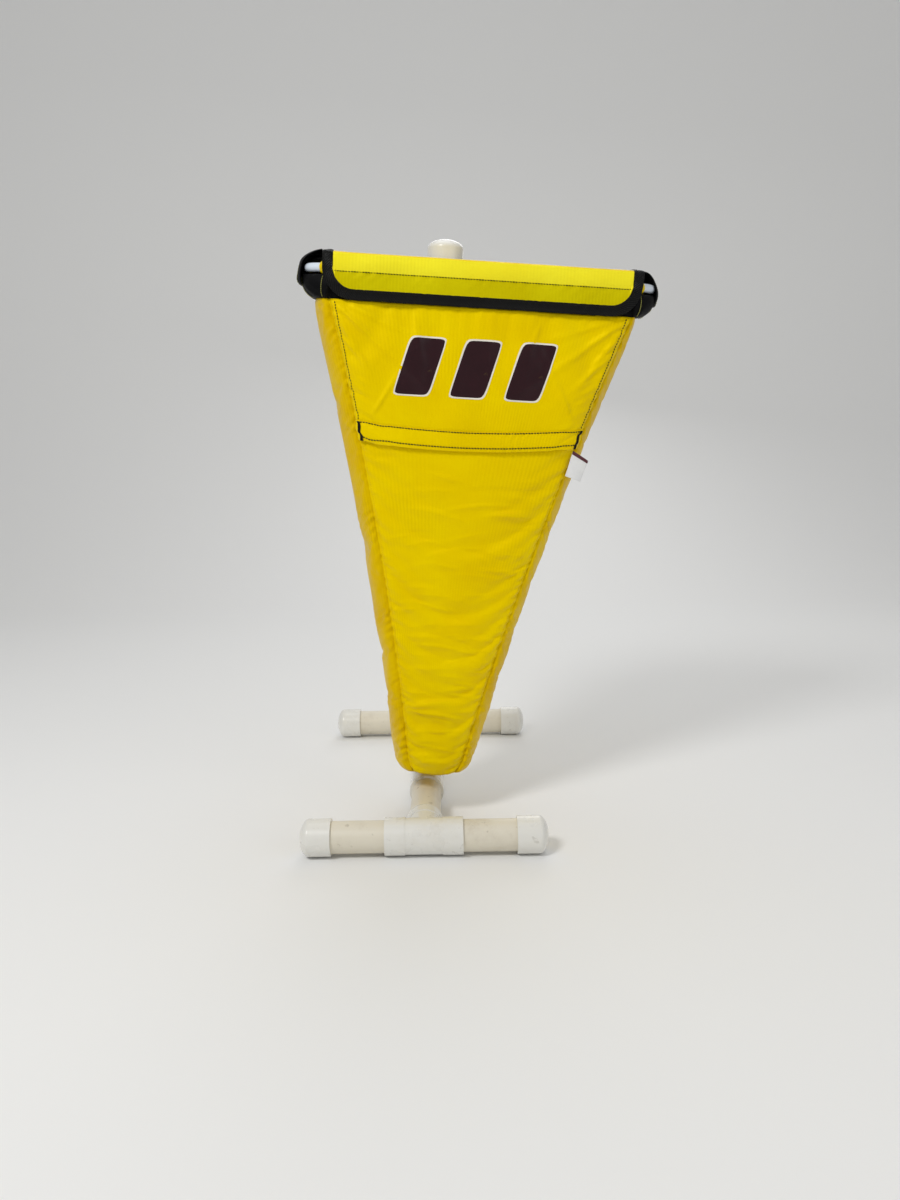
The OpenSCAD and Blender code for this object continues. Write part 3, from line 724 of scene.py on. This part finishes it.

# The bottom: a curved floor sewn to the lower ring, in the sides' darker yellow, which is painted shade
low = body[0]
centre = low.mean(axis=0) + np.array([0, 0, 2.0])
steps = np.array([0.0, 0.03, 0.08, 0.2, 0.4, 0.6, 0.8, 0.97])[:, None, None]
floor_grid = low[None] + (centre - low)[None] * steps
floor_grid[..., 2] += (-3.0 * np.sin(np.pi * np.minimum(1, steps[..., 0] * 1.6)) + 0.8
                       * field(41, 30.0)(floor_grid[..., 0], floor_grid[..., 1])) * (steps[..., 0] > 0)
bottom = panel("bag_bottom", floor_grid, "yellow_cloth", YELLOW_SIDES_PAINTED_SHADE, ("bottom_panel",),
               wrap=True, thick=1.6, side=1.0)


# ---------- overlay, hem, marks and tag ----------
front_cloth = body[:, :C1 + 1]
front_n = normals(front_cloth)


def on_front(u, z, lift):
    """A point of the front cloth, lift mm out from it."""
    i = level(z) * NR + 0 * u
    j = (u + 1) / 2 * NF + 0 * z
    return sample(front_cloth, i, j) + unit(sample(front_n, i, j)) * np.asarray(lift)[..., None]


def ridge(x, z, x0, z0, angle, wide, long, tall):
    """A soft fold that starts at a point and fades out along its angle."""
    a = math.radians(angle)
    s = (x - x0) * math.cos(a) + (z - z0) * math.sin(a)
    t = -(x - x0) * math.sin(a) + (z - z0) * math.cos(a)
    w = wide * (0.6 + 0.7 * np.clip(s / long, 0, 1.5))
    return tall * np.exp(-(t / w) ** 2) * np.clip(s / 25, 0, 1) * np.exp(-(np.maximum(s, 0) / long) ** 2)


def forward(count):
    """The direction out of the front, once for each point of a line."""
    return np.repeat([[0.0, -1.0, 0.0]], count, axis=0)


# Where each soft fold under the mouth starts (x, z), its angle, width, length and height
SOFT_FOLDS = (
    (-250, 985, -38, 8, 150, 3.2), (-252, 975, -58, 7, 120, 2.4), (-235, 990, -22, 8, 130, 2.0),
    (250, 985, -142, 8, 150, 3.0), (252, 972, -122, 7, 120, 2.4), (235, 990, -160, 8, 120, 1.8),
    (-245, 940, -45, 5, 90, 2.0), (246, 935, -136, 5, 90, 2.0), (-180, 800, 62, 6, 100, 2.2),
    (185, 812, 121, 6, 100, 2.4), (-120, 985, -75, 6, 70, 1.4), (110, 988, -108, 6, 70, 1.4))


def overlay_lift(u, z):
    x = u * seam_half(z)
    edge = (1 - np.abs(u)) * seam_half(z)
    lift = 1.5 + 2.2 * (1 - np.exp(-edge / 14)) + 0.9 * pucker(51, 17.0)(z, edge, 0.8, 16.0)
    for x0, z0, angle, wide, long, tall in SOFT_FOLDS:
        lift = lift + 1.7 * ridge(x, z, x0, z0, angle, 0.8 * wide, long, tall)
    lift = lift + 0.8 * field(53, 70.0, stretch=(1.0, 1.6))(x, z)
    return np.maximum(lift, 1.0)


def hem_low(u):
    return OVERLAY_LOW - 3 + 13.5 * u * u + 3.5 * u


def hem_high(u):
    return OVERLAY_LOW + 34 + 12.5 * u * u + 3.0 * u


def overlay_point(u, z, extra=0.0):
    return on_front(u, z, overlay_lift(u, z) + extra)


uu = np.linspace(-0.985, 0.985, 181)[None, :]
rr = np.linspace(0, 1, 101)[:, None]
zo = mix(hem_low(uu) + 2, TOP_Z - 1.5, rr)
overlay = panel("front_overlay_cloth", overlay_point(uu + 0 * zo, zo), "yellow_cloth", YELLOW,
                ("front_overlay",), smooth=False)

rh = np.linspace(0, 1, 11)[:, None]
zh = mix(hem_low(uu), hem_high(uu), rh)
hem_full = (1.6 + 2.3 * np.sin(np.pi * rh) ** 0.6
            + 0.8 * pucker(61, 15.0)(uu * 190, 15 - np.abs(rh - 0.5) * 28, 0.6, 9.0))
hem_grid = overlay_point(uu + 0 * zh, zh, hem_full + 1.6 * (1 - rh) ** 3)
hem = panel("hem_band_cloth", hem_grid, "yellow_cloth", YELLOW, ("hem_band",), thick=1.2)


def line_on_hem(share):
    """A line of thread along the hem band, at a share of its height."""
    u = np.linspace(-0.97, 0.97, 160)
    z = mix(hem_low(u), hem_high(u), share)
    k = 1.6 + 2.3 * max(0.0, math.sin(math.pi * share)) ** 0.6 + 1.6 * (1 - share) ** 3
    p = overlay_point(u, z, k + 0.15 + 0 * u)
    return p, forward(len(p))


hem_thread = sew("hem_stitching", [line_on_hem(0.94), line_on_hem(0.2)], 5.2, 4.4, 1.1)
tacks = []
for place in [s * (0.965 - 0.006 * k) for s in (-1, 1) for k in range(3)]:
    u = np.full(24, place)
    z = np.linspace(hem_low(place) + 1.5, hem_high(place) - 0.5, 24)
    tacks.append((overlay_point(u, z, 4.2 + 0 * u), forward(24)))
tack_piece = sew("hem_bar_tack_thread", tacks, 1.6, 1.9, 1.05, replaced=("hem_bar_tacks",))


def mark(k, grow, lift):
    """One plain slanted bar with round corners, pressed on the overlay; grow makes its pale edge."""
    t = np.linspace(-1, 1, 25)
    z0, h, w, slant = 892.0, 50.0 + grow, 31.0 + grow, 24.0
    a, b = np.meshgrid(t, t)
    pull = 1 - 0.07 * np.abs(a * b) ** 7
    x = k * 100.0 - 1 + slant * b * 0.5 + a * pull * w
    z = z0 + b * pull * h
    p = overlay_point(x / seam_half(z), z, lift + 0 * x)
    p[..., 0], p[..., 2] = x + sway(z), z
    return p


for k in (-1, 0, 1):
    name = ("left", "middle", "right")[k + 1]
    panel(f"{name}_mark_edge", mark(k, 3.0, 0.45), "white_film", PALE_FILM, thick=0.25)
    panel(f"{name}_mark", mark(k, 0.0, 0.75), "dark_film", DARK_FILM, ("plain_marks",) if k == 0 else (),
          thick=0.25)

# Thread beside the side seams, above the hem only
seam_lines = []
for s in (-1, 1):
    u = np.full(200, s * 0.962)
    z = np.linspace(hem_high(s), TOP_Z - 4, 200)
    seam_lines.append((overlay_point(u, z, 0.15 + 0 * u), forward(200)))
seam_thread = sew("overlay_side_stitching", seam_lines, 5.0, 4.0, 0.85)
# Yellow thread down the seams below the hem, in the sides' darker yellow of painted shade
low_lines = []
for s in (-1, 1):
    z = np.linspace(FOOT_Z + 8, OVERLAY_LOW, 300)
    u = s * (1 - 5.0 / seam_half(z))
    low_lines.append((on_front(u, z, 0.1 + 0 * u), forward(300)))
low_thread = sew("side_seam_stitching", low_lines, 4.0, 3.0, 0.4, YELLOW_SIDES_PAINTED_SHADE)

# The sewn-in tag: a folded slip of white cloth that leans out of the right seam
tu, tv = np.meshgrid(np.linspace(0, 1, 15), np.linspace(0, 1, 19))
tag_x = mix(mix(174, 203, tu), mix(185, 214, tu), tv)
tag_z = mix(mix(708, 699, tu), mix(754, 737, tu), tv) + 2
tag_y = front_y(tag_z) - 9 - 5 * np.sin(tu * 2.2) - 1.6 * np.sin(tv * 5 + tu * 3)
tag = panel("fabric_tag_cloth", np.stack([tag_x, tag_y, tag_z], axis=2), "tag_cloth", TAG, ("fabric_tag",),
            thick=0.7, side=0.0)
edge_rows = np.stack([tag_x[-3:], tag_y[-3:] - 0.8, tag_z[-3:] + np.array([[0.0], [0.8], [1.6]])], axis=2)
tag_edge = panel("fabric_tag_edge", edge_rows, "tag_cloth", MAROON, thick=0.9, side=0.0)


# ---------- the mouth: sleeves on the hoop, collar and hoods ----------
def hoop_path(a0, a1, count):
    """Points of the hoop's centre line in its own plane, their directions, and half the line's length.

    Place 0 is the middle of the front run, and 1 is the middle of the rear run, round to the right.
    """
    side_run = HOOP_DEPTH - 2 * HOOP_BEND
    arc = math.pi / 2 * HOOP_BEND
    total = 2 * HOOP_RUN + 2 * arc + side_run
    out, tan = [], []
    for t in np.linspace(a0, a1, count):
        s, sign = abs(t) * total, 1 if t >= 0 else -1
        if s < HOOP_RUN:
            p, d = (s, -HOOP_DEPTH), (1, 0)
        elif s < HOOP_RUN + arc:
            a = (s - HOOP_RUN) / HOOP_BEND
            p = (HOOP_RUN + HOOP_BEND * math.sin(a), -HOOP_DEPTH + HOOP_BEND * (1 - math.cos(a)))
            d = (math.cos(a), math.sin(a))
        elif s < HOOP_RUN + arc + side_run:
            p, d = (HOOP_HALF, -HOOP_DEPTH + HOOP_BEND + s - HOOP_RUN - arc), (0, 1)
        elif s < HOOP_RUN + 2 * arc + side_run:
            a = (s - HOOP_RUN - arc - side_run) / HOOP_BEND
            p = (HOOP_RUN + HOOP_BEND * math.cos(a), -HOOP_BEND + HOOP_BEND * math.sin(a))
            d = (-math.sin(a), math.cos(a))
        else:
            p, d = (HOOP_RUN - (s - HOOP_RUN - 2 * arc - side_run), 0), (-1, 0)
        out.append((sign * p[0], p[1], 0.0))
        tan.append((d[0], sign * d[1], 0.0))
    return np.array(out), unit(np.array(tan)), total


def sleeve(name, a0, a1, count, seed, material, replaced):
    """A cloth tube round the hoop, loose and gathered, from place a0 to place a1."""
    p, t, total = hoop_path(a0, a1, count)
    ang = np.linspace(0, 2 * math.pi, 25)[:-1]
    up = np.array([0, 0, 1.0])
    side = np.cross(t, up)
    s = np.linspace(0, abs(a1 - a0) * total, count)[:, None]
    r = (CASING_R + 0.55 * field(seed, 22.0)(s, ang[None] * 9)
         + 0.35 * np.sin(s / 2.6 + 2 * np.sin(ang[None] + s / 31)))
    r = np.maximum(r, HOOP_R + 1.3)
    out_by, up_by = ((f(ang)[None] * r)[..., None] for f in (np.cos, np.sin))
    grid = p[:, None] + side[:, None] * out_by + up * up_by
    o = grid_object(name, ON_HOOP, grid, wrap=True, side=-1.0 if a1 > a0 else 1.0)
    return finish_piece(o, "bag", material, replaced)


bend_share = HOOP_BEND * math.radians(28.5)
whole = hoop_path(0, 0, 1)[2]
front_end = (HOOP_RUN + bend_share) / whole
sleeve("front_sleeve_cloth", -front_end, front_end, 240, 71, YELLOW, ("front_sleeve",))
rear_start = 1 - (HOOP_RUN + math.pi / 2 * HOOP_BEND) / whole
sleeve("rear_sleeve_right", rear_start, 1.0, 150, 73, BLACK, ("rear_casing",))
sleeve("rear_sleeve_left", -rear_start, -1.0, 150, 75, BLACK, ())

ring_lines = []
for sign in (-1, 1):
    for back_off in (5.0, 12.0):
        place = sign * (front_end - back_off / whole)
        p, t, _ = hoop_path(place, place, 1)
        ang = np.linspace(0, 2 * math.pi, 40)
        side = np.cross(t[0], [0, 0, 1.0])
        ring = side[None] * np.cos(ang)[:, None] + np.array([[0, 0, 1.0]]) * np.sin(ang)[:, None]
        ring_lines.append((p[0] + ring * (CASING_R + 0.8), ring))
sew("sleeve_end_stitching", ring_lines, 3.4, 2.7, 0.6, matrix=ON_HOOP)


def hoop_z(y):
    return HOOP_FRONT_Z + HOOP_RISE * (y - HOOP_FRONT_Y) / HOOP_PLAN


def hoop_outline(q, out):
    """A point beside the hoop's right side, out from its tube's centre: q = 0 in front and 1 at the back."""
    arc, r = 0.3, HOOP_BEND + out
    a, b = np.pi / 2 * np.minimum(1, q / arc), np.pi / 2 * np.maximum(0, (q - 1 + arc) / arc)
    front, back = HOOP_FRONT_Y + HOOP_BEND, HOOP_BACK_Y - HOOP_BEND
    x = HOOP_RUN + np.where(q < 0.5, r * np.sin(a), r * np.cos(b))
    y = np.where(q < arc, front - r * np.cos(a),
                 np.where(q > 1 - arc, back + r * np.sin(b), mix(front, back, (q - arc) / (1 - 2 * arc))))
    return x, y, hoop_z(y)


RIM_GAP = CASING_R + 1.0
ROWS = 15
COLLAR_FULL = 11.0
ring_v = np.linspace(0, 1, ROWS)[:, None]


def rim_of(q, s):
    x, y, z = hoop_outline(q, CASING_R - 1)
    return np.stack([s * x, np.minimum(y, BACK_Y - FABRIC_T), z - RIM_GAP], axis=-1)


def straight_rim(u, y, z):
    return np.stack([u * HOOP_RUN, y + 0 * u, z - RIM_GAP + 0 * u], axis=1)


lower_ring = body[-1]
upper_ring = np.concatenate([
    straight_rim(U[0], HOOP_FRONT_Y - CASING_R + 1, HOOP_FRONT_Z), rim_of(Q[0], 1),
    straight_rim(W[0], BACK_Y - FABRIC_T - 0.4, HOOP_BACK_Z), rim_of(1 - Q[0], -1)])
collar = lower_ring[None] + (upper_ring - lower_ring)[None] * ring_v[..., None]
collar_out = normals(collar)
lump = 1.3 * pucker(81, 17.0)(along(collar, 1), 26 * ring_v + 0 * collar[..., 0], 0.3, 26.0)
lump = np.where(is_back[:1], 0.0, lump * np.sin(np.pi * ring_v) ** 0.5)
lump = lump + np.where(is_side[:1], COLLAR_FULL * np.sin(np.pi * ring_v) ** 0.6, 0.0)
collar = collar + collar_out * lump[..., None]
collar_piece = panel("mouth_collar", collar, "black_cloth", BLACK,
                     ("front_collar", "left_collar", "right_collar"), wrap=True, thick=1.6)
collar_lines = [(collar[1:-1, j] + collar_out[1:-1, j] * 0.4, collar_out[1:-1, j])
                for j in (NC - 3, NC - 13, C1 + 3, C1 + 13)]
collar_thread = sew("collar_stitching", collar_lines, 3.4, 3.0, 0.7, OLIVE_THREAD)

# The flat rear flap that the lid is sewn to
FLAP_LOW = TOP_Z + HOOP_RISE - 6
fx = np.linspace(-HOOP_RUN + 3, HOOP_RUN - 3, 61)[None, :]
fz = np.linspace(FLAP_LOW, HINGE_Z - HINGE_SAG - 1.0, 15)[:, None]
flap_wave = 0.5 * field(83, 60.0)(fx, fz) * np.sin(np.pi * (fz - FLAP_LOW) / (HINGE_Z - FLAP_LOW))
flap_y = np.minimum(BACK_Y - 1.0 + flap_wave, BACK_Y - 0.3)
flap = panel("rear_flap_cloth", np.stack([fx + 0 * fz, flap_y, fz + 0 * fx], axis=2), "black_cloth", BLACK,
             ("rear_collar",), thick=1.4, side=0.0)

# Where the hoods end, and the angles that their section runs through, out from the hoop and up over it
HOOD_END, HOOD_ROLL, HOOD_ARCH = 0.93, (-50, 90), (-78, 90)


def hood(s, seed, out_by, start):
    """The loose black cloth over a side of the hoop, from `start` of the way round; gives its thread's line."""
    q = np.linspace(start, HOOD_END, 61)[None, :]
    v = np.linspace(0, 1, 33)[:, None]
    reach = HOOP_HALF - LID_W / 2 - HOOD_GAP
    out = (out_by + HOOP_R) * np.cos(np.radians(mix(*HOOD_ROLL, v))) - reach * v ** 4
    up = HOOD_UP * np.sin(np.radians(mix(*HOOD_ARCH, v)))
    x, y, z = hoop_outline(q + 0 * v, out + 0 * q)
    x, y = np.maximum(x, LID_W / 2 + HOOD_GAP), np.minimum(y, BACK_Y - 1)
    x = x + 1.3 * np.maximum(field(seed, 34.0)(y, v * 80), -0.5) * np.sin(np.pi * v)
    z = z + up + 1.8 * field(seed + 1, 45.0)(y, v * 60) * v + 0 * q
    g = np.stack([s * x, y, z], axis=2)
    hand = "left" if s < 0 else "right"
    panel(f"{hand}_hood", g, "black_cloth", BLACK, (f"{hand}_casing",), thick=2.0, side=0.0)
    n = normals(g)
    n = n * np.sign((n * (g - g.mean(axis=(0, 1)))).sum(axis=2, keepdims=True))
    return g[1:17, 4] + n[1:17, 4] * 1.2, n[1:17, 4]


hood_lines = [hood(-1, 91, HOOD_OUT, 0.22), hood(1, 95, 4.0, 0.19)]
sew("hood_edge_stitching", hood_lines, 4.2, 3.1, 0.45, OLIVE_THREAD)


# ---------- the lid ----------
NX = 89
lx = np.linspace(-LID_HALF, LID_HALF, NX)
bulge_lid, bulge_drop = field(101, 120.0), field(103, 80.0)
# The lid's cloth is flat from the hinge to FOLD_START, bends over the next FOLD_BEND mm, and hangs from there
FOLD_START, FOLD_BEND = LID_LEN - 5.0, 9.0
FLAT_TO_DROP = FOLD_START + FOLD_BEND
# The stitching across the drop, and the fullness of the cloth below it
CLOSURE_DEPTH, LOWER_FULL = 26.0, 27.0
YELLOW_DROP = DROP_H - BINDING_W - 2.0
CORNER_IN = DROP_CORNER - BINDING_W


def lid_surface(x, s):
    """The lid's cloth in the bag frame, s mm forward from its hinge; past the fold it goes down the drop."""
    x, s = np.broadcast_arrays(np.asarray(x, float), np.asarray(s, float))
    a0, drop0 = math.radians(LID_PITCH), math.radians(DROP_LEAN)
    turn = math.pi / 2 + drop0 - a0
    r = FOLD_BEND / turn
    on_top = np.minimum(s, FOLD_START)
    ang = a0 + np.clip((s - FOLD_START) / FOLD_BEND, 0, 1) * turn
    y = HINGE_Y - on_top * math.cos(a0) - r * (np.sin(ang) - math.sin(a0))
    z = (HINGE_Z + 1.0 - on_top * math.sin(a0) - r * (math.cos(a0) - np.cos(ang))
         - HINGE_SAG * (1 - on_top / FOLD_START))
    rest = np.maximum(s - FOLD_START - FOLD_BEND, 0)
    y = y + rest * math.sin(drop0)
    z = z - rest * math.cos(drop0)
    n = np.stack([0 * s, -np.sin(ang), np.cos(ang)], axis=-1)
    sag = (-4.0 * np.sin(np.pi * np.clip(s / FOLD_START, 0, 1)) * (1 - (x / LID_HALF) ** 2)
           + 1.2 * bulge_lid(x, s) * np.clip(s / 30, 0, 1))
    sag = sag * np.clip((FOLD_START - s) / 14, 0, 1)
    below = rest >= CLOSURE_DEPTH
    front = (2.6 * np.sin(np.pi * np.clip(rest / CLOSURE_DEPTH, 0, 1)) ** 0.8 * ~below
             + 0.9 * np.sin(np.pi * np.clip((rest - CLOSURE_DEPTH) / LOWER_FULL, 0, 1)) * below)
    front = (front + 0.7 * bulge_drop(x, s)
             + 0.8 * pucker(105, 24.0)(x, np.abs(rest - CLOSURE_DEPTH), 1.1, 16.0))
    out = np.where(s < FOLD_START, sag, np.clip((s - FOLD_START) / 6, 0, 1) * front)
    return np.stack([x, y, z], axis=-1) + n * out[..., None], n


def drop_depth(x):
    """How far the yellow of the drop reaches at each place across, with its round corners."""
    a = np.abs(x) - (LID_HALF - CORNER_IN)
    round_off = CORNER_IN - np.sqrt(np.maximum(CORNER_IN ** 2 - np.maximum(a, 0) ** 2, 0))
    return YELLOW_DROP - np.where(a > 0, round_off, 0)


share = np.concatenate([np.linspace(0, 0.86, 26)[:-1], np.linspace(0.86, 1, 14)])
level_s = np.concatenate([share * FOLD_START, FOLD_START + np.linspace(0, FOLD_BEND, 7)[1:]])
drop_s = np.array([FLAT_TO_DROP + t * drop_depth(lx) for t in np.linspace(0, 1, 24)[1:]])
S = np.concatenate([np.repeat(level_s[:, None], NX, axis=1), drop_s])
lid_cloth = panel("lid_cloth", lid_surface(lx[None], S)[0], "yellow_cloth", YELLOW,
                  ("lid_panel", "lid_drop"), "lid", thick=1.8, side=0.0)
# The drop is painted lighter above its closure stitching, as painted light from above, and darker and more
# olive below it, as painted shade
lid_cloth.data.materials.append(YELLOW_TOP_PAINTED_LIGHT)
lid_cloth.data.materials.append(YELLOW_LOW_PAINTED_SHADE)
depth = (S[:-1, :-1] + S[1:, 1:]).ravel() / 2 - FLAT_TO_DROP
for k, f in enumerate(lid_cloth.data.polygons):
    f.material_index = 0 if depth[k] < -4 else 1 if depth[k] < CLOSURE_DEPTH else 2

# Twill tape folded over the lid's free edge: sides, fold, round corners and lower edge. Its section is in mm,
# out from the yellow's edge and up from the cloth
PROFILE = ((-2.2, 1.5), (0.5, 1.9), (4, 2.1), (8, 2.2), (12, 2.1), (15.3, 1.5), (16.7, 0.6),
           (16.7, -0.6), (15.3, -1.5), (12, -2.1), (8, -2.2), (4, -2.1), (0.5, -1.9), (-2.2, -1.5))


def binding_path():
    """Edge points (x, s) and outward directions in (x, s), from the left hinge round to the right hinge."""
    pts = [((-LID_HALF, s), (-1, 0)) for s in np.linspace(2, FLAT_TO_DROP + YELLOW_DROP - CORNER_IN, 110)]
    c = (-LID_HALF + CORNER_IN, FLAT_TO_DROP + YELLOW_DROP - CORNER_IN)
    for a in np.linspace(0, math.pi / 2, 17)[1:]:
        pts.append(((c[0] - CORNER_IN * math.cos(a), c[1] + CORNER_IN * math.sin(a)),
                    (-math.cos(a), math.sin(a))))
    pts += [((x, FLAT_TO_DROP + YELLOW_DROP), (0, 1)) for x in np.linspace(c[0], 0, 90)[1:]]
    return pts + [((-x, s), (-a, b)) for (x, s), (a, b) in reversed(pts[:-1])]


def binding():
    """The tape, and the line of its stitching."""
    path = binding_path()
    e = np.array([p for p, _ in path])
    o = np.array([d for _, d in path], float)
    run_len = distance(e)[:, None]
    prof = np.array(PROFILE)
    wide = prof[:, 0][None] * (1 + 0.018 * field(111, 60.0)(run_len, 0))
    x = e[:, 0:1] + o[:, 0:1] * wide
    s = e[:, 1:2] + o[:, 1:2] * wide
    p, n = lid_surface(np.clip(x, -LID_HALF, LID_HALF), s)
    p[..., 0] = x
    tall = prof[:, 1][None] * (1 + 0.10 * field(113, 18.0)(run_len, wide))
    tall = tall + 0.45 * pucker(115, 13.0)(run_len, np.abs(wide - 2), 0.7, 14.0)
    piece = tube_object("lid_binding", ON_BAG, p + n * tall[..., None])
    inner = e + o * 2.6
    q, m = lid_surface(np.clip(inner[:, 0], -LID_HALF, LID_HALF), inner[:, 1])
    q[:, 0] = inner[:, 0]
    return piece, (q + m * 2.5, m)


lid_binding, binding_line = binding()
finish_piece(lid_binding, "lid", TWILL, ("lid_side_binding", "lid_drop_binding"))
binding_thread = sew("binding_stitching", [binding_line], 3.6, 2.8, 0.4, body="lid")
sx = np.linspace(-LID_HALF + 3, LID_HALF - 3, 260)
sp, sn = lid_surface(sx, FLAT_TO_DROP + CLOSURE_DEPTH + 0 * sx)
closure_thread = sew("closure_stitching", [(sp + sn * 1.1, sn)], 5.0, 4.0, 0.85, body="lid_drop")

# A narrow strip of cloth joins the lid to the rear flap: first up the flap, then forward under the lid
STRIP_UP, STRIP_FORWARD = 12, 16
hy = np.linspace(0, 1, 13)[:, None]
hx = np.linspace(-HOOP_RUN + 4, HOOP_RUN - 4, 61)[None, :]
up_part, lid_part = np.clip(hy * 2, 0, 1), STRIP_FORWARD * np.clip(hy * 2 - 1, 0, 1)
strip_y = (BACK_Y - 1.6 - 4.4 * np.sin(up_part * np.pi / 2)
           - lid_part * math.cos(math.radians(LID_PITCH)) + 0 * hx)
strip_z = (HINGE_Z - HINGE_SAG - STRIP_UP * (1 - up_part) - 1.2 + 2.2 * np.sin(hy * np.pi)
           - lid_part * math.sin(math.radians(LID_PITCH)) + 0 * hx)
hinge_strip = panel("lid_hinge_strip", np.stack([hx + 0 * hy, strip_y, strip_z], axis=2), "black_cloth",
                    BLACK, side=0.0)


# ---------- loops round the post ----------
# The webbing's section, in shares of its half width and half thickness
WEB_SECTION = ((-0.9, 0.4), (-0.75, 0.9), (0.0, 1.0), (0.75, 0.9), (0.9, 0.4),
               (0.9, -0.4), (0.75, -0.9), (0.0, -1.0), (-0.75, -0.9), (-0.9, -0.4))


def loop(name, z, node_name):
    """Webbing round the post, and the tails of the same webbing sewn flat to the bag."""
    half_w, half_t = WEB_W / 2 / 0.9 * 0.98, WEB_T / 2 * 0.95
    rings = []
    for t in np.linspace(0, 2 * math.pi, 97)[:-1]:
        d = np.array([math.sin(t), -math.cos(t), 0])
        rings.append([d * (LOOP_R + WEB_T / 2 + b * half_t) + np.array([0, 0, z + WEB_W / 2 + a * half_w])
                      for a, b in WEB_SECTION])
    rings.append(rings[0])
    band = tube_object(f"{name}_band", ON_LOOPS, np.array(rings), cap_ends=False)
    finish_piece(band, "bag", WEBBING, (node_name,))
    rings = []
    y = -LOOP_R - WEB_T - 0.05
    for x in np.concatenate([[-LOOP_TAIL + 0.5], np.linspace(-LOOP_TAIL + 1.5, LOOP_TAIL - 1.5, 40),
                             [LOOP_TAIL - 0.5]]):
        rings.append([[x, y - 1.0 + b * half_t + 0.1, z + WEB_W / 2 + a * half_w] for a, b in WEB_SECTION])
    finish_piece(tube_object(f"{name}_tails", ON_LOOPS, np.array(rings)), "bag", WEBBING)


for name, z, node_name in (("upper_loop", UPPER_LOOP_Z, "upper_post_loop"),
                           ("lower_loop", LOWER_LOOP_Z, "lower_post_loop")):
    loop(name, z, node_name)
    lines = []
    for x0, x1 in ((-72.0, -42.0), (42.0, 72.0)):
        z0, z1 = z + 4, z + WEB_W - 4
        corners = [(x0, z0), (x1, z0), (x1, z1), (x0, z1), (x0, z0), (x1, z1), (x1, z0), (x0, z1)]
        for ends in zip(corners, corners[1:]):
            line = np.array([[a, -LOOP_R - WEB_T + 0.05, b] for a, b in ends])
            lines.append((line, -forward(2)))
    sew(f"{name}_box_stitching", lines, 3.4, 2.6, 0.45, OLIVE_THREAD, matrix=ON_LOOPS)


# ---------- pieces taken off their bodies, and the cloth's pattern read ---
def cloth(o, held, rests_on, with_pieces=()):
    """Reads a sheet's pattern coordinates from its mesh, and keeps nothing of them."""
    uv = np.zeros(len(o.data.loops) * 2)
    o.data.uv_layers[0].data.foreach_get("uv", uv)


def bend_over(o, start, end):
    """Takes a finished piece off its body, so that it rides on none, and bakes its place into its mesh."""
    o.parent = None
    if "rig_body" in o:
        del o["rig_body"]
    start, end = (tuple(put(ON_BAG, np.array([p]))[0]) for p in (start, end))
    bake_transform(o)


fold_a, fold_b = (lid_surface(np.array([0.0]), np.array([s]))[0][0]
                  for s in (LID_LEN - 16.0, FLAT_TO_DROP + 8.0))
for o in (lid_cloth, lid_binding, binding_thread):
    bend_over(o, fold_a, fold_b)
bend_over(hinge_strip, (0, HINGE_Y + 4.0, HINGE_Z - HINGE_SAG - 6),
          (0, HINGE_Y - 8.0, HINGE_Z - HINGE_SAG))

cloth(bag_body, "hung", ["mouth_hoop"], [low_thread, bottom])
cloth(overlay, "stretched", ["bag_body"], [seam_thread])
cloth(hem, "stretched", ["front_overlay_cloth"], [hem_thread, tack_piece])
cloth(collar_piece, "stretched", ["mouth_hoop"], [collar_thread])
cloth(flap, "stretched", ["mouth_hoop"])
cloth(lid_cloth, "folded", ["mouth_hoop"], [lid_binding, binding_thread, closure_thread])
cloth(hinge_strip, "stretched", ["rear_flap_cloth"])
for name in ("left_hood", "right_hood", "front_sleeve_cloth", "rear_sleeve_left", "rear_sleeve_right"):
    cloth(bpy.data.objects[name], "stretched", ["mouth_hoop"])
cloth(tag, "hung", ["bag_body"], [tag_edge])


# ---------- floor, backdrop and light ----------
def backdrop():
    pts, cols = [], (-6.0, 6.0)
    profile = [(-4.0, 0.0), (0.0, 0.0), (2.2, 0.0)]
    for a in np.linspace(0, math.pi / 2, 14)[1:]:
        profile.append((2.2 + 1.6 * math.sin(a), 1.6 - 1.6 * math.cos(a)))
    profile += [(3.8, 7.0)]
    for y, z in profile:
        pts += [(c, y, z) for c in cols]
    o = mesh_object("backdrop", pts, [quad(i, 0, 1, 2) for i in range(len(profile) - 1)])
    o.data.materials.append(nodes_of("pale_floor", (0.86, 0.86, 0.85), 0.75, specular=0.2)[0])


def area_light(name, place, aim, size, power, color=(1, 1, 1)):
    data = bpy.data.lights.new(name, "AREA")
    data.shape, data.size, data.energy, data.color = "DISK", size, power, color
    o = bpy.data.objects.new(name, data)
    o.location = place
    direction = Matrix.Translation(aim).translation - Matrix.Translation(place).translation
    o.rotation_euler = direction.to_track_quat("-Z", "Y").to_euler()
    bpy.context.scene.collection.objects.link(o)


backdrop()
area_light("key", (-1.5, -2.4, 3.0), (0.05, -0.1, 0.6), 0.9, 56)
area_light("fill", (2.4, -2.2, 1.5), (0.05, -0.1, 0.6), 2.2, 10)
area_light("top", (0.3, 0.6, 3.2), (0.05, 0.0, 0.4), 2.4, 15)
area_light("back", (0.5, 3.0, 2.2), (0.05, 0.0, 0.5), 2.0, 16)
studio = bpy.data.worlds.new("studio")
studio.use_nodes = True
studio.node_tree.nodes["Background"].inputs["Color"].default_value = (1, 1, 1, 1)
studio.node_tree.nodes["Background"].inputs["Strength"].default_value = 0.42
bpy.context.scene.world = studio
bpy.context.scene.view_settings.view_transform = "Standard"
